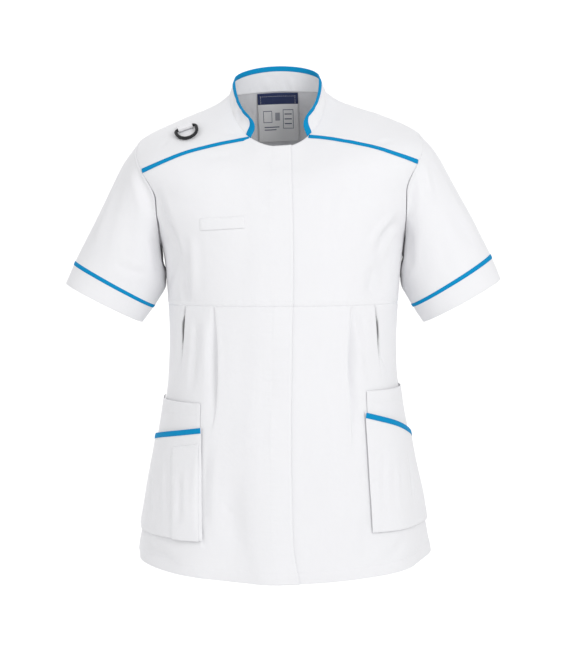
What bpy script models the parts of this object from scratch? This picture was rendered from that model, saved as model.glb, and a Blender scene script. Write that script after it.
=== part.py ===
"""Maternity tunic, filled out as it is worn: stand collar, covered front closing, contrast tapes and hip pockets.

The cloth is one smooth form, given by body_point(angle, level). The angle runs round the wearer: 0 is centre front,
90 degrees the side and 180 degrees centre back, positive towards +X. The level is the height of that ring at the
side. Every panel is a patch of this form, cut along its seams, and every applied piece lies on it. The origin is the
point between the two places where the shoulders meet the neck. The front faces -Y. Units are metres.
"""

import bisect
import functools
import math

import bmesh
import bpy
from mathutils import Matrix, Vector

COLLECTION = "maternity_tunic"


def table(columns, *rows):
    """Rows of sizes, each as a dictionary by column name."""
    return [dict(zip(columns.split(), row)) for row in rows]


# Cloth thicknesses and clearances
WALL = 0.0015
TRIM_WALL = 0.0009
POCKET_WALL = 0.0012
SEAM = 0.0002
LIFT = 0.0005

# Steps of angle and level between which the form's directions are taken, and the step of a walk over it
ANGLE_STEP = 0.004
LEVEL_STEP = 0.0006
WALK_STEP = 0.002

# Levels of the main lines
HEM_LEVEL = -0.718
WAIST_SEAM = -0.318
UNDERARM = -0.222
SHOULDER_TIP = -0.056
NECK_LEVEL = 0.013

# Rings of the form, from hem to neck. The drops say how far centre front and centre back lie below the side.
SECTIONS = table(
    "level front_drop back_drop width front back square",
    (-0.718, 0.026, 0.017, 0.2340, 0.184, 0.172, 2.30),
    (-0.620, 0.012, 0.006, 0.2180, 0.178, 0.160, 2.30),
    (-0.520, 0.000, 0.000, 0.1970, 0.171, 0.146, 2.30),
    (-0.420, 0.000, 0.000, 0.1815, 0.163, 0.130, 2.35),
    (-0.318, 0.000, 0.000, 0.1830, 0.157, 0.120, 2.40),
    (-0.222, 0.002, 0.000, 0.1940, 0.150, 0.116, 2.50),
    (-0.140, 0.030, 0.000, 0.2200, 0.139, 0.114, 2.55),
    (-0.056, 0.060, 0.000, 0.2220, 0.116, 0.104, 2.45),
    (-0.022, 0.074, 0.000, 0.1520, 0.101, 0.086, 2.25),
    (0.000, 0.081, -0.003, 0.0960, 0.091, 0.069, 2.15),
    (0.013, 0.0855, -0.006, 0.0770, 0.085, 0.060, 2.10),
)
DROP_POWER = 1.2

# The figure leans a little to its right: a small turn about a point at the waist, faded out below it
LEAN = 0.033
LEAN_CENTRE = -0.25
LEAN_FROM = -0.38
LEAN_TO = -0.12

# Armhole, an oval in angle and level. Its steps count from the shoulder tip over the front.
ARM_STEPS = 26
ARM_HALF_ANGLE = math.radians(22)
YOKE_STEP = 4
YOKE_SEAM_BULGE = 0.0075
UNDERARM_STEP = ARM_STEPS // 2

# Columns and rows of the panels
NECK_COLUMNS = 4
YOKE_COLUMNS = 8
SIDE_ROWS = 3
SKIRT_COLUMNS = 15
BACK_COLUMNS = 22
BACK_NECK_ROWS = 6
BACK_WAIST_LEVEL = -0.270
SKIRT_LEVELS = (
    -0.718, -0.690, -0.655, -0.615, -0.570, -0.530, -0.490, -0.455, -0.425, -0.400, -0.375, -0.352, -0.334, -0.3235,
    -0.318,
)

# Front closing: the edge of the right front, which lies on top, and how far the left front goes under it
CLOSING = table(
    "level x",
    (-0.718, 0.0250),
    (-0.680, 0.0175),
    (-0.600, 0.0135),
    (-0.380, 0.0135),
    (-0.250, 0.0165),
    (0.013, 0.0210),
)
UNDERLAP = 0.036
LAP_RISE = 0.0024
LAP_FADE = 0.013
LAP_CLEAR = 0.011
LAP_BLEND_ANGLE = 0.25

# Pleats under the waist seam. Each is a valley that runs down the cloth and fades out.
PLEATS = table(
    "side x depth half_width spread length",
    (-1, 0.1080, 0.0095, 0.0050, 0.0075, 0.200),
    (-1, 0.1520, 0.0060, 0.0035, 0.0045, 0.095),
    (1, 0.1060, 0.0095, 0.0050, 0.0070, 0.230),
    (1, 0.1440, 0.0060, 0.0035, 0.0045, 0.100),
)
PLEAT_START = 0.012
PLEAT_FADE_FROM = 0.35

# Columns across a pleat, as shares of its reach to either side, and how far even columns keep from it
PLEAT_COLUMNS = (-1, -0.55, -0.25, 0, 0.25, 0.55, 1)
PLEAT_REACH = 1.9
PLEAT_KEEP = 1.15

# Soft troughs in the upper fronts, between two points of the front view
TROUGHS = table(
    "side x_top z_top x_bottom z_bottom depth half_width",
    (-1, 0.192, -0.150, 0.150, -0.330, 0.0045, 0.014),
    (1, 0.182, -0.175, 0.138, -0.330, 0.0045, 0.014),
)
TROUGH_LOWEST = -0.40
TROUGH_START = 0.35
TROUGH_END = 0.25
TROUGH_SIDE_FADE = 0.14

# Flare waves round the skirt, at their full height at the hem
WAVES = table("count height phase", (7, 0.0030, 0.4), (11, 0.0018, 1.7))
WAVE_FROM = -0.40

# Collar
COLLAR_CORNER = math.radians(32)
COLLAR_TOP_WIDTH = 0.0675
COLLAR_TOP_FRONT = 0.089
COLLAR_TOP_BACK = 0.061
COLLAR_TOP_SIDE = 0.036
COLLAR_TOP_DROP = 0.072
COLLAR_TOP_RISE = 0.023
COLLAR_TOP_SQUARE = 2.1
COLLAR_RISE_POWER = 0.8
COLLAR_TAPE_WIDTH = 0.0085
COLLAR_TAPE_WALL = 0.0023
COLLAR_TAPE_RADIUS = 0.0092
COLLAR_COLUMNS = 32
COLLAR_ROWS = 4
COLLAR_CLEAR = 0.0009
TAPE_END_ROWS = 3
TAPE_CORNER_ROWS = 5

# Tapes, and how far the yoke tapes stay clear of the collar and the sleeve
YOKE_TAPE_WIDTH = 0.0072
YOKE_TAPE_START = 0.30
YOKE_TAPE_END = 0.22
CUFF_TAPE_WIDTH = 0.0075
POCKET_TAPE_WIDTH = 0.0085

# Sleeve rings in the front view, from below the armhole to the hem: outer and inner point, half depth, y of the middle
SLEEVE_RINGS = table(
    "x_outer z_outer x_inner z_inner half_depth y_middle",
    (0.2480, -0.0890, 0.1970, -0.2430, 0.0760, 0.000),
    (0.2760, -0.1420, 0.1915, -0.2660, 0.0710, -0.002),
    (0.3030, -0.1930, 0.1905, -0.2890, 0.0660, -0.004),
    (0.3270, -0.2400, 0.2035, -0.3170, 0.0610, -0.006),
    (0.3465, -0.2850, 0.2240, -0.3500, 0.0560, -0.008),
)
CUFF_START = 0.845
HEAD_BEVEL = 0.0008
SLEEVE_ROWS = 8
CUFF_ROWS = 2

# Hip pockets, in the front view: front edge, bottom, top of the inner layer and mouth of the outer one
POCKETS = table(
    "side x_edge_top x_edge_bottom z_bottom_edge z_bottom_side z_top z_mouth_edge z_mouth_side gape",
    (-1, 0.1275, 0.1270, -0.680, -0.6780, -0.470, -0.5065, -0.535, 0.0016),
    (1, 0.1285, 0.1400, -0.668, -0.6680, -0.451, -0.4830, -0.532, 0.0016),
)
POCKET_BACK_ANGLE = math.radians(98)
POCKET_GAP = 0.0009
POCKET_COLUMNS = 11
POCKET_ROWS = 6
GAPE_HEIGHT = 0.07
GAPE_FROM_ANGLE = 0.75
GAPE_TO_ANGLE = 1.10
POCKET_TAPE_END = 0.03

# Pen pocket on the right hip pocket and badge strip on the right chest: corners in the front view, low then high
PEN_CORNERS = ((0.1300, -0.681), (0.1680, -0.681), (0.1300, -0.532), (0.1680, -0.541))
BADGE_CORNERS = ((0.0570, -0.1960), (0.1265, -0.1985), (0.0570, -0.1775), (0.1265, -0.1800))
BADGE_LIFT = 0.0008

# D-ring on the right yoke and the tab that holds it
RING_X = 0.1460
RING_Z = -0.0405
RING_ROD = 0.0026
RING_WIDTH = 0.0335
RING_DEPTH = 0.0300
RING_CORNER = 0.006
RING_BOW_POWER = 0.9
RING_BOW_STEPS = 14
RING_CORNER_STEPS = 4
RING_TILT = math.radians(3)
TAB_WIDTH = 0.0230
TAB_LENGTH = 0.0170
TAB_CLEAR = 0.0004
TAB_STEPS = 4
TAB_BEND_STEPS = 6
TAB_COLUMNS = (-0.5, -0.17, 0.17, 0.5)

# Label inside the back neck
LABEL_WIDTH = 0.062
LABEL_TOP = 0.0115
LABEL_BOTTOM = -0.0600
LABEL_COLUMNS = 4
LABEL_ROWS = 6

COLOURS = {
    "white_cloth": ((0.86, 0.86, 0.88), 0.85, 0.0),
    "blue_tape": ((0.02, 0.27, 0.55), 0.7, 0.0),
    "black_plastic": ((0.015, 0.015, 0.017), 0.45, 0.0),
    "label_cloth": ((0.85, 0.85, 0.86), 0.7, 0.0),
}


def smoothstep(value):
    value = max(0.0, min(1.0, value))
    return value * value * (3 - 2 * value)


def curve_value(keys, values, key):
    """A smooth curve through the values at their keys."""
    i = max(0, min(len(keys) - 2, bisect.bisect_right(keys, key) - 1))
    steps = [keys[k + 1] - keys[k] for k in range(len(keys) - 1)]
    secants = [(values[k + 1] - values[k]) / steps[k] for k in range(len(steps))]

    def slope(k):
        if k == 0:
            return secants[0]
        if k == len(keys) - 1:
            return secants[-1]
        return (secants[k - 1] * steps[k] + secants[k] * steps[k - 1]) / (steps[k - 1] + steps[k])

    t = (key - keys[i]) / steps[i]
    if t < 0 or t > 1:
        edge = i + (t > 1)
        return values[edge] + slope(edge) * (key - keys[edge])
    cubic_start = (1 + 2 * t) * (1 - t) ** 2
    cubic_end = t * t * (3 - 2 * t)
    bend_start = t * (1 - t) ** 2 * steps[i]
    bend_end = t * t * (t - 1) * steps[i]
    return (
        cubic_start * values[i] + cubic_end * values[i + 1] + bend_start * slope(i) + bend_end * slope(i + 1)
    )


def column_value(rows, key_name, name, key):
    return curve_value([row[key_name] for row in rows], [row[name] for row in rows], key)


@functools.lru_cache(maxsize=None)
def ring(level):
    """The form's sizes at a level, by name."""
    return {name: column_value(SECTIONS, "level", name, level) for name in SECTIONS[0]}


def ring_xy(angle, level):
    sizes = ring(level)
    depth = sizes["front"] if math.cos(angle) > 0 else sizes["back"]
    power = sizes["square"]
    reach = (abs(math.sin(angle)) / sizes["width"]) ** power + (abs(math.cos(angle)) / depth) ** power
    radius = reach ** (-1 / power)
    return radius * math.sin(angle), -radius * math.cos(angle)


def ring_z(angle, level):
    sizes = ring(level)
    drop = sizes["front_drop"] if math.cos(angle) > 0 else sizes["back_drop"]
    return level - drop * abs(math.cos(angle)) ** DROP_POWER


def bisected(function, low, high, wanted):
    """Where a rising function takes the wanted value."""
    for _ in range(40):
        middle = (low + high) / 2
        if function(middle) < wanted:
            low = middle
        else:
            high = middle
    return (low + high) / 2


def angle_at(x, level):
    """Angle of the front point of a ring that lies at x."""
    sizes = ring(level)
    share = min(1.0, abs(x) / sizes["width"])
    depth = sizes["front"] * (1 - share ** sizes["square"]) ** (1 / sizes["square"])
    return math.atan2(math.copysign(share * sizes["width"], x), depth)


def place(x, z):
    """Angle and level of the point of the front that shows at x and z, before the lean."""
    level = bisected(lambda trial: ring_z(angle_at(x, trial), trial), HEM_LEVEL - 0.02, NECK_LEVEL + 0.01, z)
    return angle_at(x, level), level


@functools.lru_cache(maxsize=None)
def pleat_angle(x):
    return angle_at(x, WAIST_SEAM)


def pleat_depth(angle, level):
    """How far the pleats sink the cloth."""
    below = WAIST_SEAM - level
    if below <= 0 or abs(angle) > math.pi / 2:
        return 0.0
    total = 0.0
    for pleat in PLEATS:
        along = below / pleat["length"]
        if pleat["side"] * angle < 0 or along >= 1:
            continue
        wide = pleat["half_width"] + pleat["spread"] * along
        across = (abs(angle) - pleat_angle(pleat["x"])) * ring(WAIST_SEAM)["front"] / wide
        fade = smoothstep(below / PLEAT_START)
        fade *= 1 - smoothstep((along - PLEAT_FADE_FROM) / (1 - PLEAT_FADE_FROM))
        total += pleat["depth"] * fade * math.exp(-across * across)
    return total


def trough_depth(angle, level):
    """How far the soft troughs of the upper fronts sink the cloth."""
    if abs(angle) > math.pi / 2 or level < TROUGH_LOWEST:
        return 0.0
    x = abs(ring_xy(angle, level)[0])
    z = ring_z(angle, level)
    total = 0.0
    for trough in TROUGHS:
        if trough["side"] * angle < 0:
            continue
        along = (trough["z_top"] - z) / (trough["z_top"] - trough["z_bottom"])
        middle = trough["x_top"] + (trough["x_bottom"] - trough["x_top"]) * along
        across = (x - middle) / trough["half_width"]
        ends = smoothstep(along / TROUGH_START) * smoothstep((1 - along) / TROUGH_END)
        ends *= smoothstep((math.pi / 2 - abs(angle)) / TROUGH_SIDE_FADE)
        total += trough["depth"] * ends * math.exp(-across * across)
    return total


def wave_height(angle, level):
    fade = smoothstep((WAVE_FROM - level) / (WAVE_FROM - HEM_LEVEL))
    return fade * sum(wave["height"] * math.cos(wave["count"] * angle + wave["phase"]) for wave in WAVES)


def leaned(point):
    share = LEAN * smoothstep((point.z - LEAN_FROM) / (LEAN_TO - LEAN_FROM))
    x = point.x - share * (point.z - LEAN_CENTRE)
    return Vector((x, point.y, point.z + share * point.x))


@functools.lru_cache(maxsize=None)
def body_point(angle, level):
    x, y = ring_xy(angle, level)
    out = wave_height(angle, level) - pleat_depth(angle, level) - trough_depth(angle, level)
    return leaned(Vector((x + out * math.sin(angle), y - out * math.cos(angle), ring_z(angle, level))))


def body_frame(angle, level):
    """The point, the directions of rising angle and level, and the outward normal."""
    round_way = body_point(angle + ANGLE_STEP, level) - body_point(angle - ANGLE_STEP, level)
    up_way = body_point(angle, level + LEVEL_STEP) - body_point(angle, level - LEVEL_STEP)
    normal = round_way.cross(up_way).normalized()
    return body_point(angle, level), round_way / (2 * ANGLE_STEP), up_way / (2 * LEVEL_STEP), normal


def lifted(angle, level, out):
    point, _, _, normal = body_frame(angle, level)
    return point + normal * out


def walk(angle, level, direction, distance):
    """Angle and level after a walk over the cloth in a direction."""
    steps = max(1, round(abs(distance) / WALK_STEP))
    for _ in range(steps):
        _, round_way, up_way, normal = body_frame(angle, level)
        flat = direction - normal * direction.dot(normal)
        move = flat.normalized() * (distance / steps)
        a, b, c = round_way.dot(round_way), round_way.dot(up_way), up_way.dot(up_way)
        p, q = move.dot(round_way), move.dot(up_way)
        divisor = a * c - b * b
        angle += (p * c - q * b) / divisor
        level += (q * a - p * b) / divisor
    return angle, level


def armhole(step):
    """Angle and level of a step round the armhole of the left side."""
    turn = 2 * math.pi * step / ARM_STEPS
    middle = (SHOULDER_TIP + UNDERARM) / 2
    half = (SHOULDER_TIP - UNDERARM) / 2
    return math.pi / 2 - ARM_HALF_ANGLE * math.sin(turn), middle + half * math.cos(turn)


def closing_x(level):
    return column_value(CLOSING, "level", "x", level)


def lerp(start, end, share):
    return tuple(a + (b - a) * share for a, b in zip(start, end))


def line(start, end, count):
    return [lerp(start, end, k / count) for k in range(count + 1)]


def patch(bottom, top, left, right):
    """Fills the space between four edges, each a list of (angle, level), with a grid of rows."""
    columns = len(bottom) - 1
    rows = len(left) - 1
    grid = []
    for r in range(rows + 1):
        v = r / rows
        row = []
        for c in range(columns + 1):
            u = c / columns
            values = []
            for k in range(2):
                across = (1 - u) * left[r][k] + u * right[r][k]
                upward = (1 - v) * bottom[c][k] + v * top[c][k]
                corners = (1 - v) * ((1 - u) * bottom[0][k] + u * bottom[-1][k])
                corners += v * ((1 - u) * top[0][k] + u * top[-1][k])
                values.append(across + upward - corners)
            row.append(tuple(values))
        grid.append(row)
    return grid


def on_side(grid, side):
    """Points of the left half, moved to the wearer's right for side -1, with the rows still facing out."""
    if side > 0:
        return grid
    return [[(-angle, level) for angle, level in reversed(row)] for row in grid]


def set_back(points, tube=False):
    """Draws cut edges back by half a seam's gap."""
    count = len(points)
    first = [p + (q - p).normalized() * SEAM for p, q in zip(points[0], points[1])]
    last = [p + (q - p).normalized() * SEAM for p, q in zip(points[-1], points[count - 2])]
    rows = [first] + [list(row) for row in points[1:-1]] + [last]
    if tube:
        return rows
    for row in rows:
        start = (row[1] - row[0]).normalized() * SEAM
        end = (row[-2] - row[-1]).normalized() * SEAM
        row[0] = row[0] + start
        row[-1] = row[-1] + end
    return rows


def material(name):
    found = bpy.data.materials.get(name)
    if found:
        return found
    colour, roughness, metallic = COLOURS[name]
    made = bpy.data.materials.new(name)
    made.use_nodes = True
    shader = made.node_tree.nodes["Principled BSDF"]
    shader.inputs["Base Color"].default_value = (*colour, 1.0)
    shader.inputs["Roughness"].default_value = roughness
    shader.inputs["Metallic"].default_value = metallic
    made.diffuse_color = (*colour, 1.0)
    return made


def add_object(name, data, slot):
    obj = bpy.data.objects.new(name, data)
    bpy.data.collections[COLLECTION].objects.link(obj)
    data.materials.append(material(slot))
    return obj


def cloth(name, outer, inner, slot="white_cloth", tube=False):
    """A wall of cloth lofted between its outer and inner skins, each given as rows of points."""
    build = bmesh.new()
    front, behind = [[[build.verts.new(point) for point in row] for row in skin] for skin in (outer, inner)]
    across = len(outer[0])
    steps = range(across if tube else across - 1)
    for r in range(len(outer) - 1):
        for c in steps:
            d = (c + 1) % across
            cell = ((r, c), (r, d), (r + 1, d), (r + 1, c))
            first = (outer[r][c] - outer[r + 1][d]).length
            second = (outer[r][d] - outer[r + 1][c]).length
            halves = ((0, 1, 2), (0, 2, 3)) if first < second else ((0, 1, 3), (1, 2, 3))
            for half in halves:
                build.faces.new([front[cell[k][0]][cell[k][1]] for k in half])
                build.faces.new([behind[cell[k][0]][cell[k][1]] for k in half[::-1]])
    for row, turned in ((0, False), (-1, True)):
        for c in steps:
            d = (c + 1) % across
            corners = (front[row][d], front[row][c], behind[row][c], behind[row][d])
            build.faces.new(corners[::-1] if turned else corners)
    for column, turned in ((0, False), (across - 1, True)) if not tube else ():
        for r in range(len(outer) - 1):
            corners = (
                front[r][column], front[r + 1][column], behind[r + 1][column], behind[r][column],
            )
            build.faces.new(corners[::-1] if turned else corners)
    mesh = bpy.data.meshes.new(name)
    build.to_mesh(mesh)
    build.free()
    mesh.shade_smooth()
    mesh.set_sharp_from_angle(angle=math.radians(50))
    return add_object(name, mesh, slot)


def panel(name, grid, side=1, out=0.0, wall=WALL, slot="white_cloth"):
    """A cut piece of the form: out may be a number or a function of angle and level."""
    height = out if callable(out) else lambda angle, level: out
    skins = []
    for depth in (0.0, wall):
        skin = [[lifted(*spot, height(*spot) - depth) for spot in row] for row in on_side(grid, side)]
        skins.append(set_back(skin))
    return cloth(name, *skins, slot)


def front_lap(angle, level):
    """The right front rises over the left one along the closing."""
    x = ring_xy(angle, level)[0]
    return LAP_RISE * smoothstep((x - closing_x(level) + UNDERLAP + LAP_CLEAR + LAP_FADE) / LAP_FADE)


def closing_edge(level, side):
    """Angle of the closing edge on the piece's own side: the right front passes the centre, the left goes under."""
    x = closing_x(level)
    return angle_at(-x if side < 0 else x - UNDERLAP, level)


def edge_line(beside, side):
    """The closing edge up to the neck, with its steps between even ones and those of the edge beside it."""
    low, high = beside[0][1], beside[-1][1]
    count = len(beside) - 1
    shares = [(k / count + (level - low) / (high - low)) / 2 for k, (_, level) in enumerate(beside)]
    levels = [low + (NECK_LEVEL - low) * share for share in shares]
    return [(closing_edge(level, side), level) for level in levels]


def yoke_seam(count):
    """From the collar's corner to the armhole, a little arched as cut."""
    start = (COLLAR_CORNER, NECK_LEVEL)
    end = armhole(YOKE_STEP)
    x0, z0 = ring_xy(*start)[0], ring_z(*start)
    x1, z1 = ring_xy(*end)[0], ring_z(*end)
    points = [start]
    for k in range(1, count):
        x, z = lerp((x0, z0), (x1, z1), k / count)
        points.append(place(x, z + YOKE_SEAM_BULGE * math.sin(math.pi * k / count)))
    return points + [end]


def front_bodice(side):
    arm = [armhole(step) for step in range(UNDERARM_STEP, YOKE_STEP - 1, -1)]
    right = line((math.pi / 2, WAIST_SEAM), (math.pi / 2, UNDERARM), SIDE_ROWS)[:-1] + arm
    left = edge_line(right, side)
    columns = NECK_COLUMNS + YOKE_COLUMNS
    bottom = line(left[0], right[0], columns)
    neck = line(left[-1], (COLLAR_CORNER, NECK_LEVEL), NECK_COLUMNS)
    top = neck[:-1] + yoke_seam(YOKE_COLUMNS)
    return patch(bottom, top, left, right)


def yoke(side):
    tip = (math.pi / 2, SHOULDER_TIP)
    bottom = yoke_seam(YOKE_COLUMNS)
    right = [armhole(step) for step in range(YOKE_STEP, -1, -1)]
    left = line((COLLAR_CORNER, NECK_LEVEL), (math.pi / 2, NECK_LEVEL), YOKE_STEP)
    top = line((math.pi / 2, NECK_LEVEL), tip, YOKE_COLUMNS)
    return patch(bottom, top, left, right)


def skirt_columns(side):
    """Column angles of a lower front from the closing edge to the side, closer together at the pleats."""
    start = closing_edge(WAIST_SEAM, side)
    angles = [start + (math.pi / 2 - start) * k / SKIRT_COLUMNS for k in range(SKIRT_COLUMNS + 1)]
    depth = ring(WAIST_SEAM)["front"]
    for pleat in (row for row in PLEATS if row["side"] == side):
        middle = pleat_angle(pleat["x"])
        near = (pleat["half_width"] + pleat["spread"]) * PLEAT_REACH / depth
        angles = [angle for angle in angles if abs(angle - middle) > near * PLEAT_KEEP]
        angles += [middle + share * near for share in PLEAT_COLUMNS]
    return sorted(angles)


def lower_front(side):
    angles = skirt_columns(side)
    start = angles[0]
    grid = []
    for level in SKIRT_LEVELS:
        edge = closing_edge(level, side)
        row = []
        for angle in angles:
            near_edge = 1 - smoothstep((angle - start) / LAP_BLEND_ANGLE)
            row.append((angle + (edge - start) * near_edge, level))
        grid.append(row)
    return grid


def back_piece():
    """The whole back, in rows from hem to neck."""
    lower = [*SKIRT_LEVELS[::2], BACK_WAIST_LEVEL]
    rows = [(math.pi / 2, level) for level in lower]
    rows += [armhole(step) for step in range(UNDERARM_STEP, ARM_STEPS + 1)]
    rows += line((math.pi / 2, SHOULDER_TIP), (math.pi / 2, NECK_LEVEL), BACK_NECK_ROWS)[1:]
    shares = [k / BACK_COLUMNS for k in range(BACK_COLUMNS + 1)]
    return [[(edge + (2 * math.pi - 2 * edge) * share, level) for share in shares] for edge, level in rows]


def collar_point(share, height, out=0.0):
    """Point of the collar: share runs from its left front end over the back to the right one, height is 0 to 1."""

    def surface(share, height):
        angle = COLLAR_CORNER + (2 * math.pi - 2 * COLLAR_CORNER) * share
        base_x, base_y = ring_xy(angle, NECK_LEVEL)
        base = Vector((base_x, base_y, ring_z(angle, NECK_LEVEL)))
        cosine = math.cos(angle)
        depth = COLLAR_TOP_FRONT if cosine > 0 else COLLAR_TOP_BACK
        power = COLLAR_TOP_SQUARE
        reach = (abs(math.sin(angle)) / COLLAR_TOP_WIDTH) ** power + (abs(cosine) / depth) ** power
        radius = reach ** (-1 / power)
        if cosine > 0:
            rise = -COLLAR_TOP_DROP * cosine**DROP_POWER
        else:
            rise = COLLAR_TOP_RISE * abs(cosine) ** COLLAR_RISE_POWER
        top = Vector((radius * math.sin(angle), -radius * cosine, COLLAR_TOP_SIDE + rise))
        return leaned(base.lerp(top, height))

    point = surface(share, height)
    along = surface(share + 0.002, height) - surface(share - 0.002, height)
    upward = surface(share, height + 0.02) - surface(share, height - 0.02)
    return point + along.cross(upward).normalized() * out


def collar_sizes():
    """Length of the collar's top edge, and the height at each share of it."""
    count = 120
    points = [collar_point(k / count, 1.0) for k in range(count + 1)]
    length = sum((b - a).length for a, b in zip(points, points[1:]))

    def height(share):
        return (collar_point(share, 1.0) - collar_point(share, 0.0)).length

    return length, height


def add_collar():
    length, height = collar_sizes()
    end = (COLLAR_TAPE_WIDTH + SEAM) / length
    skins = []
    for out in (0.0, -WALL):
        skin = []
        for r in range(COLLAR_ROWS + 1):
            row = []
            for c in range(COLLAR_COLUMNS + 1):
                share = end + (1 - 2 * end) * c / COLLAR_COLUMNS
                top = 1 - (COLLAR_TAPE_WIDTH + SEAM) / height(share)
                foot = COLLAR_CLEAR / height(share)
                row.append(collar_point(share, foot + (top - foot) * r / COLLAR_ROWS, out))
            skin.append(row)
        skins.append(set_back(skin))
    cloth("collar", *skins)


def add_collar_tape():
    """The edging runs up one front end, round the corner, along the top and down the other end."""
    length, height = collar_sizes()
    width = COLLAR_TAPE_WIDTH
    radius = COLLAR_TAPE_RADIUS
    inner_radius = radius - width
    half = []
    side_height = height(width / length)
    for k in range(TAPE_END_ROWS + 1):
        up = COLLAR_CLEAR + (side_height - radius - COLLAR_CLEAR) * k / TAPE_END_ROWS
        half.append(((0.0, up), (width, up)))
    for k in range(1, TAPE_CORNER_ROWS):
        turn = math.radians(90 * k / TAPE_CORNER_ROWS)
        across, up = 1 - math.cos(turn), math.sin(turn)
        base = side_height - radius
        half.append(
            ((radius * across, base + radius * up), (width + inner_radius * across, base + inner_radius * up))
        )
    first = radius / length
    top = [first + (1 - 2 * first) * k / COLLAR_COLUMNS for k in range(COLLAR_COLUMNS + 1)]

    def spot(edge, mirrored):
        share = edge[0] / length
        return (1 - share if mirrored else share), edge[1] / height(share)

    stations = [[spot(edge, False) for edge in pair] for pair in half]
    stations += [[(share, 1.0), (share, 1 - width / height(share))] for share in top]
    stations += [[spot(edge, True) for edge in pair] for pair in reversed(half)]
    proud = (COLLAR_TAPE_WALL - WALL) / 2
    skins = [
        [[collar_point(*pair[edge], out) for pair in stations] for edge in (1, 0)] for out in (proud, -WALL - proud)
    ]
    cloth("collar_tape", *skins, "blue_tape")


def tape(name, route, width):
    """A flat strip along a route over the cloth, given as points with their normals."""
    skins = []
    for depth in (LIFT + TRIM_WALL, LIFT):
        rows = [[], [], []]
        for k, (point, normal) in enumerate(route):
            before = route[max(0, k - 1)][0]
            after = route[min(len(route) - 1, k + 1)][0]
            across = normal.cross((after - before).normalized()).normalized()
            for row, share in zip(rows, (-0.5, 0.0, 0.5)):
                row.append(point + normal * depth + across * (width * share))
        skins.append(rows)
    return cloth(name, *skins, "blue_tape")


def route_over(points, side, height=None):
    """Points and normals over the body, always from the wearer's right to the left."""
    route = []
    for angle, level in points:
        point, _, _, normal = body_frame(side * angle, level)
        out = height(angle, level) if height else 0.0
        route.append((point + normal * out, normal))
    return route if side > 0 else route[::-1]


def add_yoke_tape(side, label):
    seam = yoke_seam(2 * YOKE_COLUMNS)
    seam[0] = lerp(seam[0], seam[1], YOKE_TAPE_START)
    seam[-1] = lerp(seam[-1], seam[-2], YOKE_TAPE_END)
    tape(f"yoke_tape_{label}", route_over(seam, side), YOKE_TAPE_WIDTH)


def sleeve_ring_point(row, turn):
    share = (1 + math.cos(turn)) / 2
    x = row["x_inner"] + (row["x_outer"] - row["x_inner"]) * share
    z = row["z_inner"] + (row["z_outer"] - row["z_inner"]) * share
    return Vector((x, row["y_middle"] - row["half_depth"] * math.sin(turn), z))


def sleeve_point(side, step, along):
    """Point of the sleeve: step counts round it as on the armhole, along runs from armhole 0 to hem 1."""
    turn = 2 * math.pi * step / ARM_STEPS
    angle, level = armhole(step)
    x, y = ring_xy(angle, level)
    start = Vector((x, y, ring_z(angle, level)))
    rings = [start] + [sleeve_ring_point(row, turn) for row in SLEEVE_RINGS]
    keys = [k / (len(rings) - 1) for k in range(len(rings))]
    values = [curve_value(keys, [point[axis] for point in rings], along) for axis in range(3)]
    return leaned(Vector((side * values[0], values[1], values[2])))


def sleeve_frame(side, step, along):
    point = sleeve_point(side, step, along)
    round_way = sleeve_point(side, step + 0.1, along) - sleeve_point(side, step - 0.1, along)
    down_way = sleeve_point(side, step, along + 0.01) - sleeve_point(side, step, along - 0.01)
    normal = round_way.cross(down_way).normalized() * side
    return point, normal


def sleeve_rows(side, start, end, count, out):
    """Rings of the sleeve from start to end, turned so that the loft faces out."""
    rows = []
    for r in range(count + 1):
        along = start + (end - start) * r / count
        row = []
        for step in range(ARM_STEPS):
            point, normal = sleeve_frame(side, step, along)
            row.append(point + normal * out)
        rows.append(row[::-1] if side > 0 else row)
    return rows[::-1]


def sleeve_piece(name, side, span, count, out, wall, slot="white_cloth", seams=True):
    skins = [sleeve_rows(side, *span, count, depth) for depth in (out, out - wall)]
    if seams:
        skins = [set_back(skin, tube=True) for skin in skins]
    if span[0] == 0.0:
        head, next_row = skins[1][-1], skins[1][-2]
        skins[1][-1] = [p + (q - p).normalized() * HEAD_BEVEL for p, q in zip(head, next_row)]
    return cloth(name, *skins, slot, tube=True)


def add_sleeve(side, label):
    sleeve_piece(f"sleeve_{label}", side, (0.0, CUFF_START), SLEEVE_ROWS, 0.0, WALL)
    sleeve_piece(f"cuff_{label}", side, (CUFF_START, 1.0), CUFF_ROWS, 0.0, WALL)
    length = (sleeve_point(side, 0, 1.0) - sleeve_point(side, 0, 0.5)).length * 2
    half = CUFF_TAPE_WIDTH / 2 / length
    span = (CUFF_START - half, CUFF_START + half)
    sleeve_piece(f"cuff_tape_{label}", side, span, 1, LIFT + TRIM_WALL, TRIM_WALL, "blue_tape", seams=False)


def box_patch(corners, columns, rows):
    """A patch with straight edges between its low front, low back, high front and high back corners."""
    low_front, low_back, high_front, high_back = corners
    return patch(
        line(low_front, low_back, columns),
        line(high_front, high_back, columns),
        line(low_front, high_front, rows),
        line(low_back, high_back, rows),
    )


def pocket_layer(sizes, top_edge, top_side, rows):
    """Patch of a hip pocket from its front edge round past the side."""
    back = POCKET_BACK_ANGLE
    low_front = place(sizes["x_edge_bottom"], sizes["z_bottom_edge"])
    high_front = place(sizes["x_edge_top"], top_edge)
    corners = (low_front, (back, sizes["z_bottom_side"]), high_front, (back, top_side))
    return box_patch(corners, POCKET_COLUMNS, rows)


def stand_off(sizes, mouth):
    """How far a layer gapes at its open mouth, towards the side."""

    def height(angle, level):
        near_mouth = smoothstep(1 - (mouth - level) / GAPE_HEIGHT)
        near_side = smoothstep((abs(angle) - GAPE_FROM_ANGLE) / (GAPE_TO_ANGLE - GAPE_FROM_ANGLE))
        return sizes["gape"] * near_mouth * near_side

    return height


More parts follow.
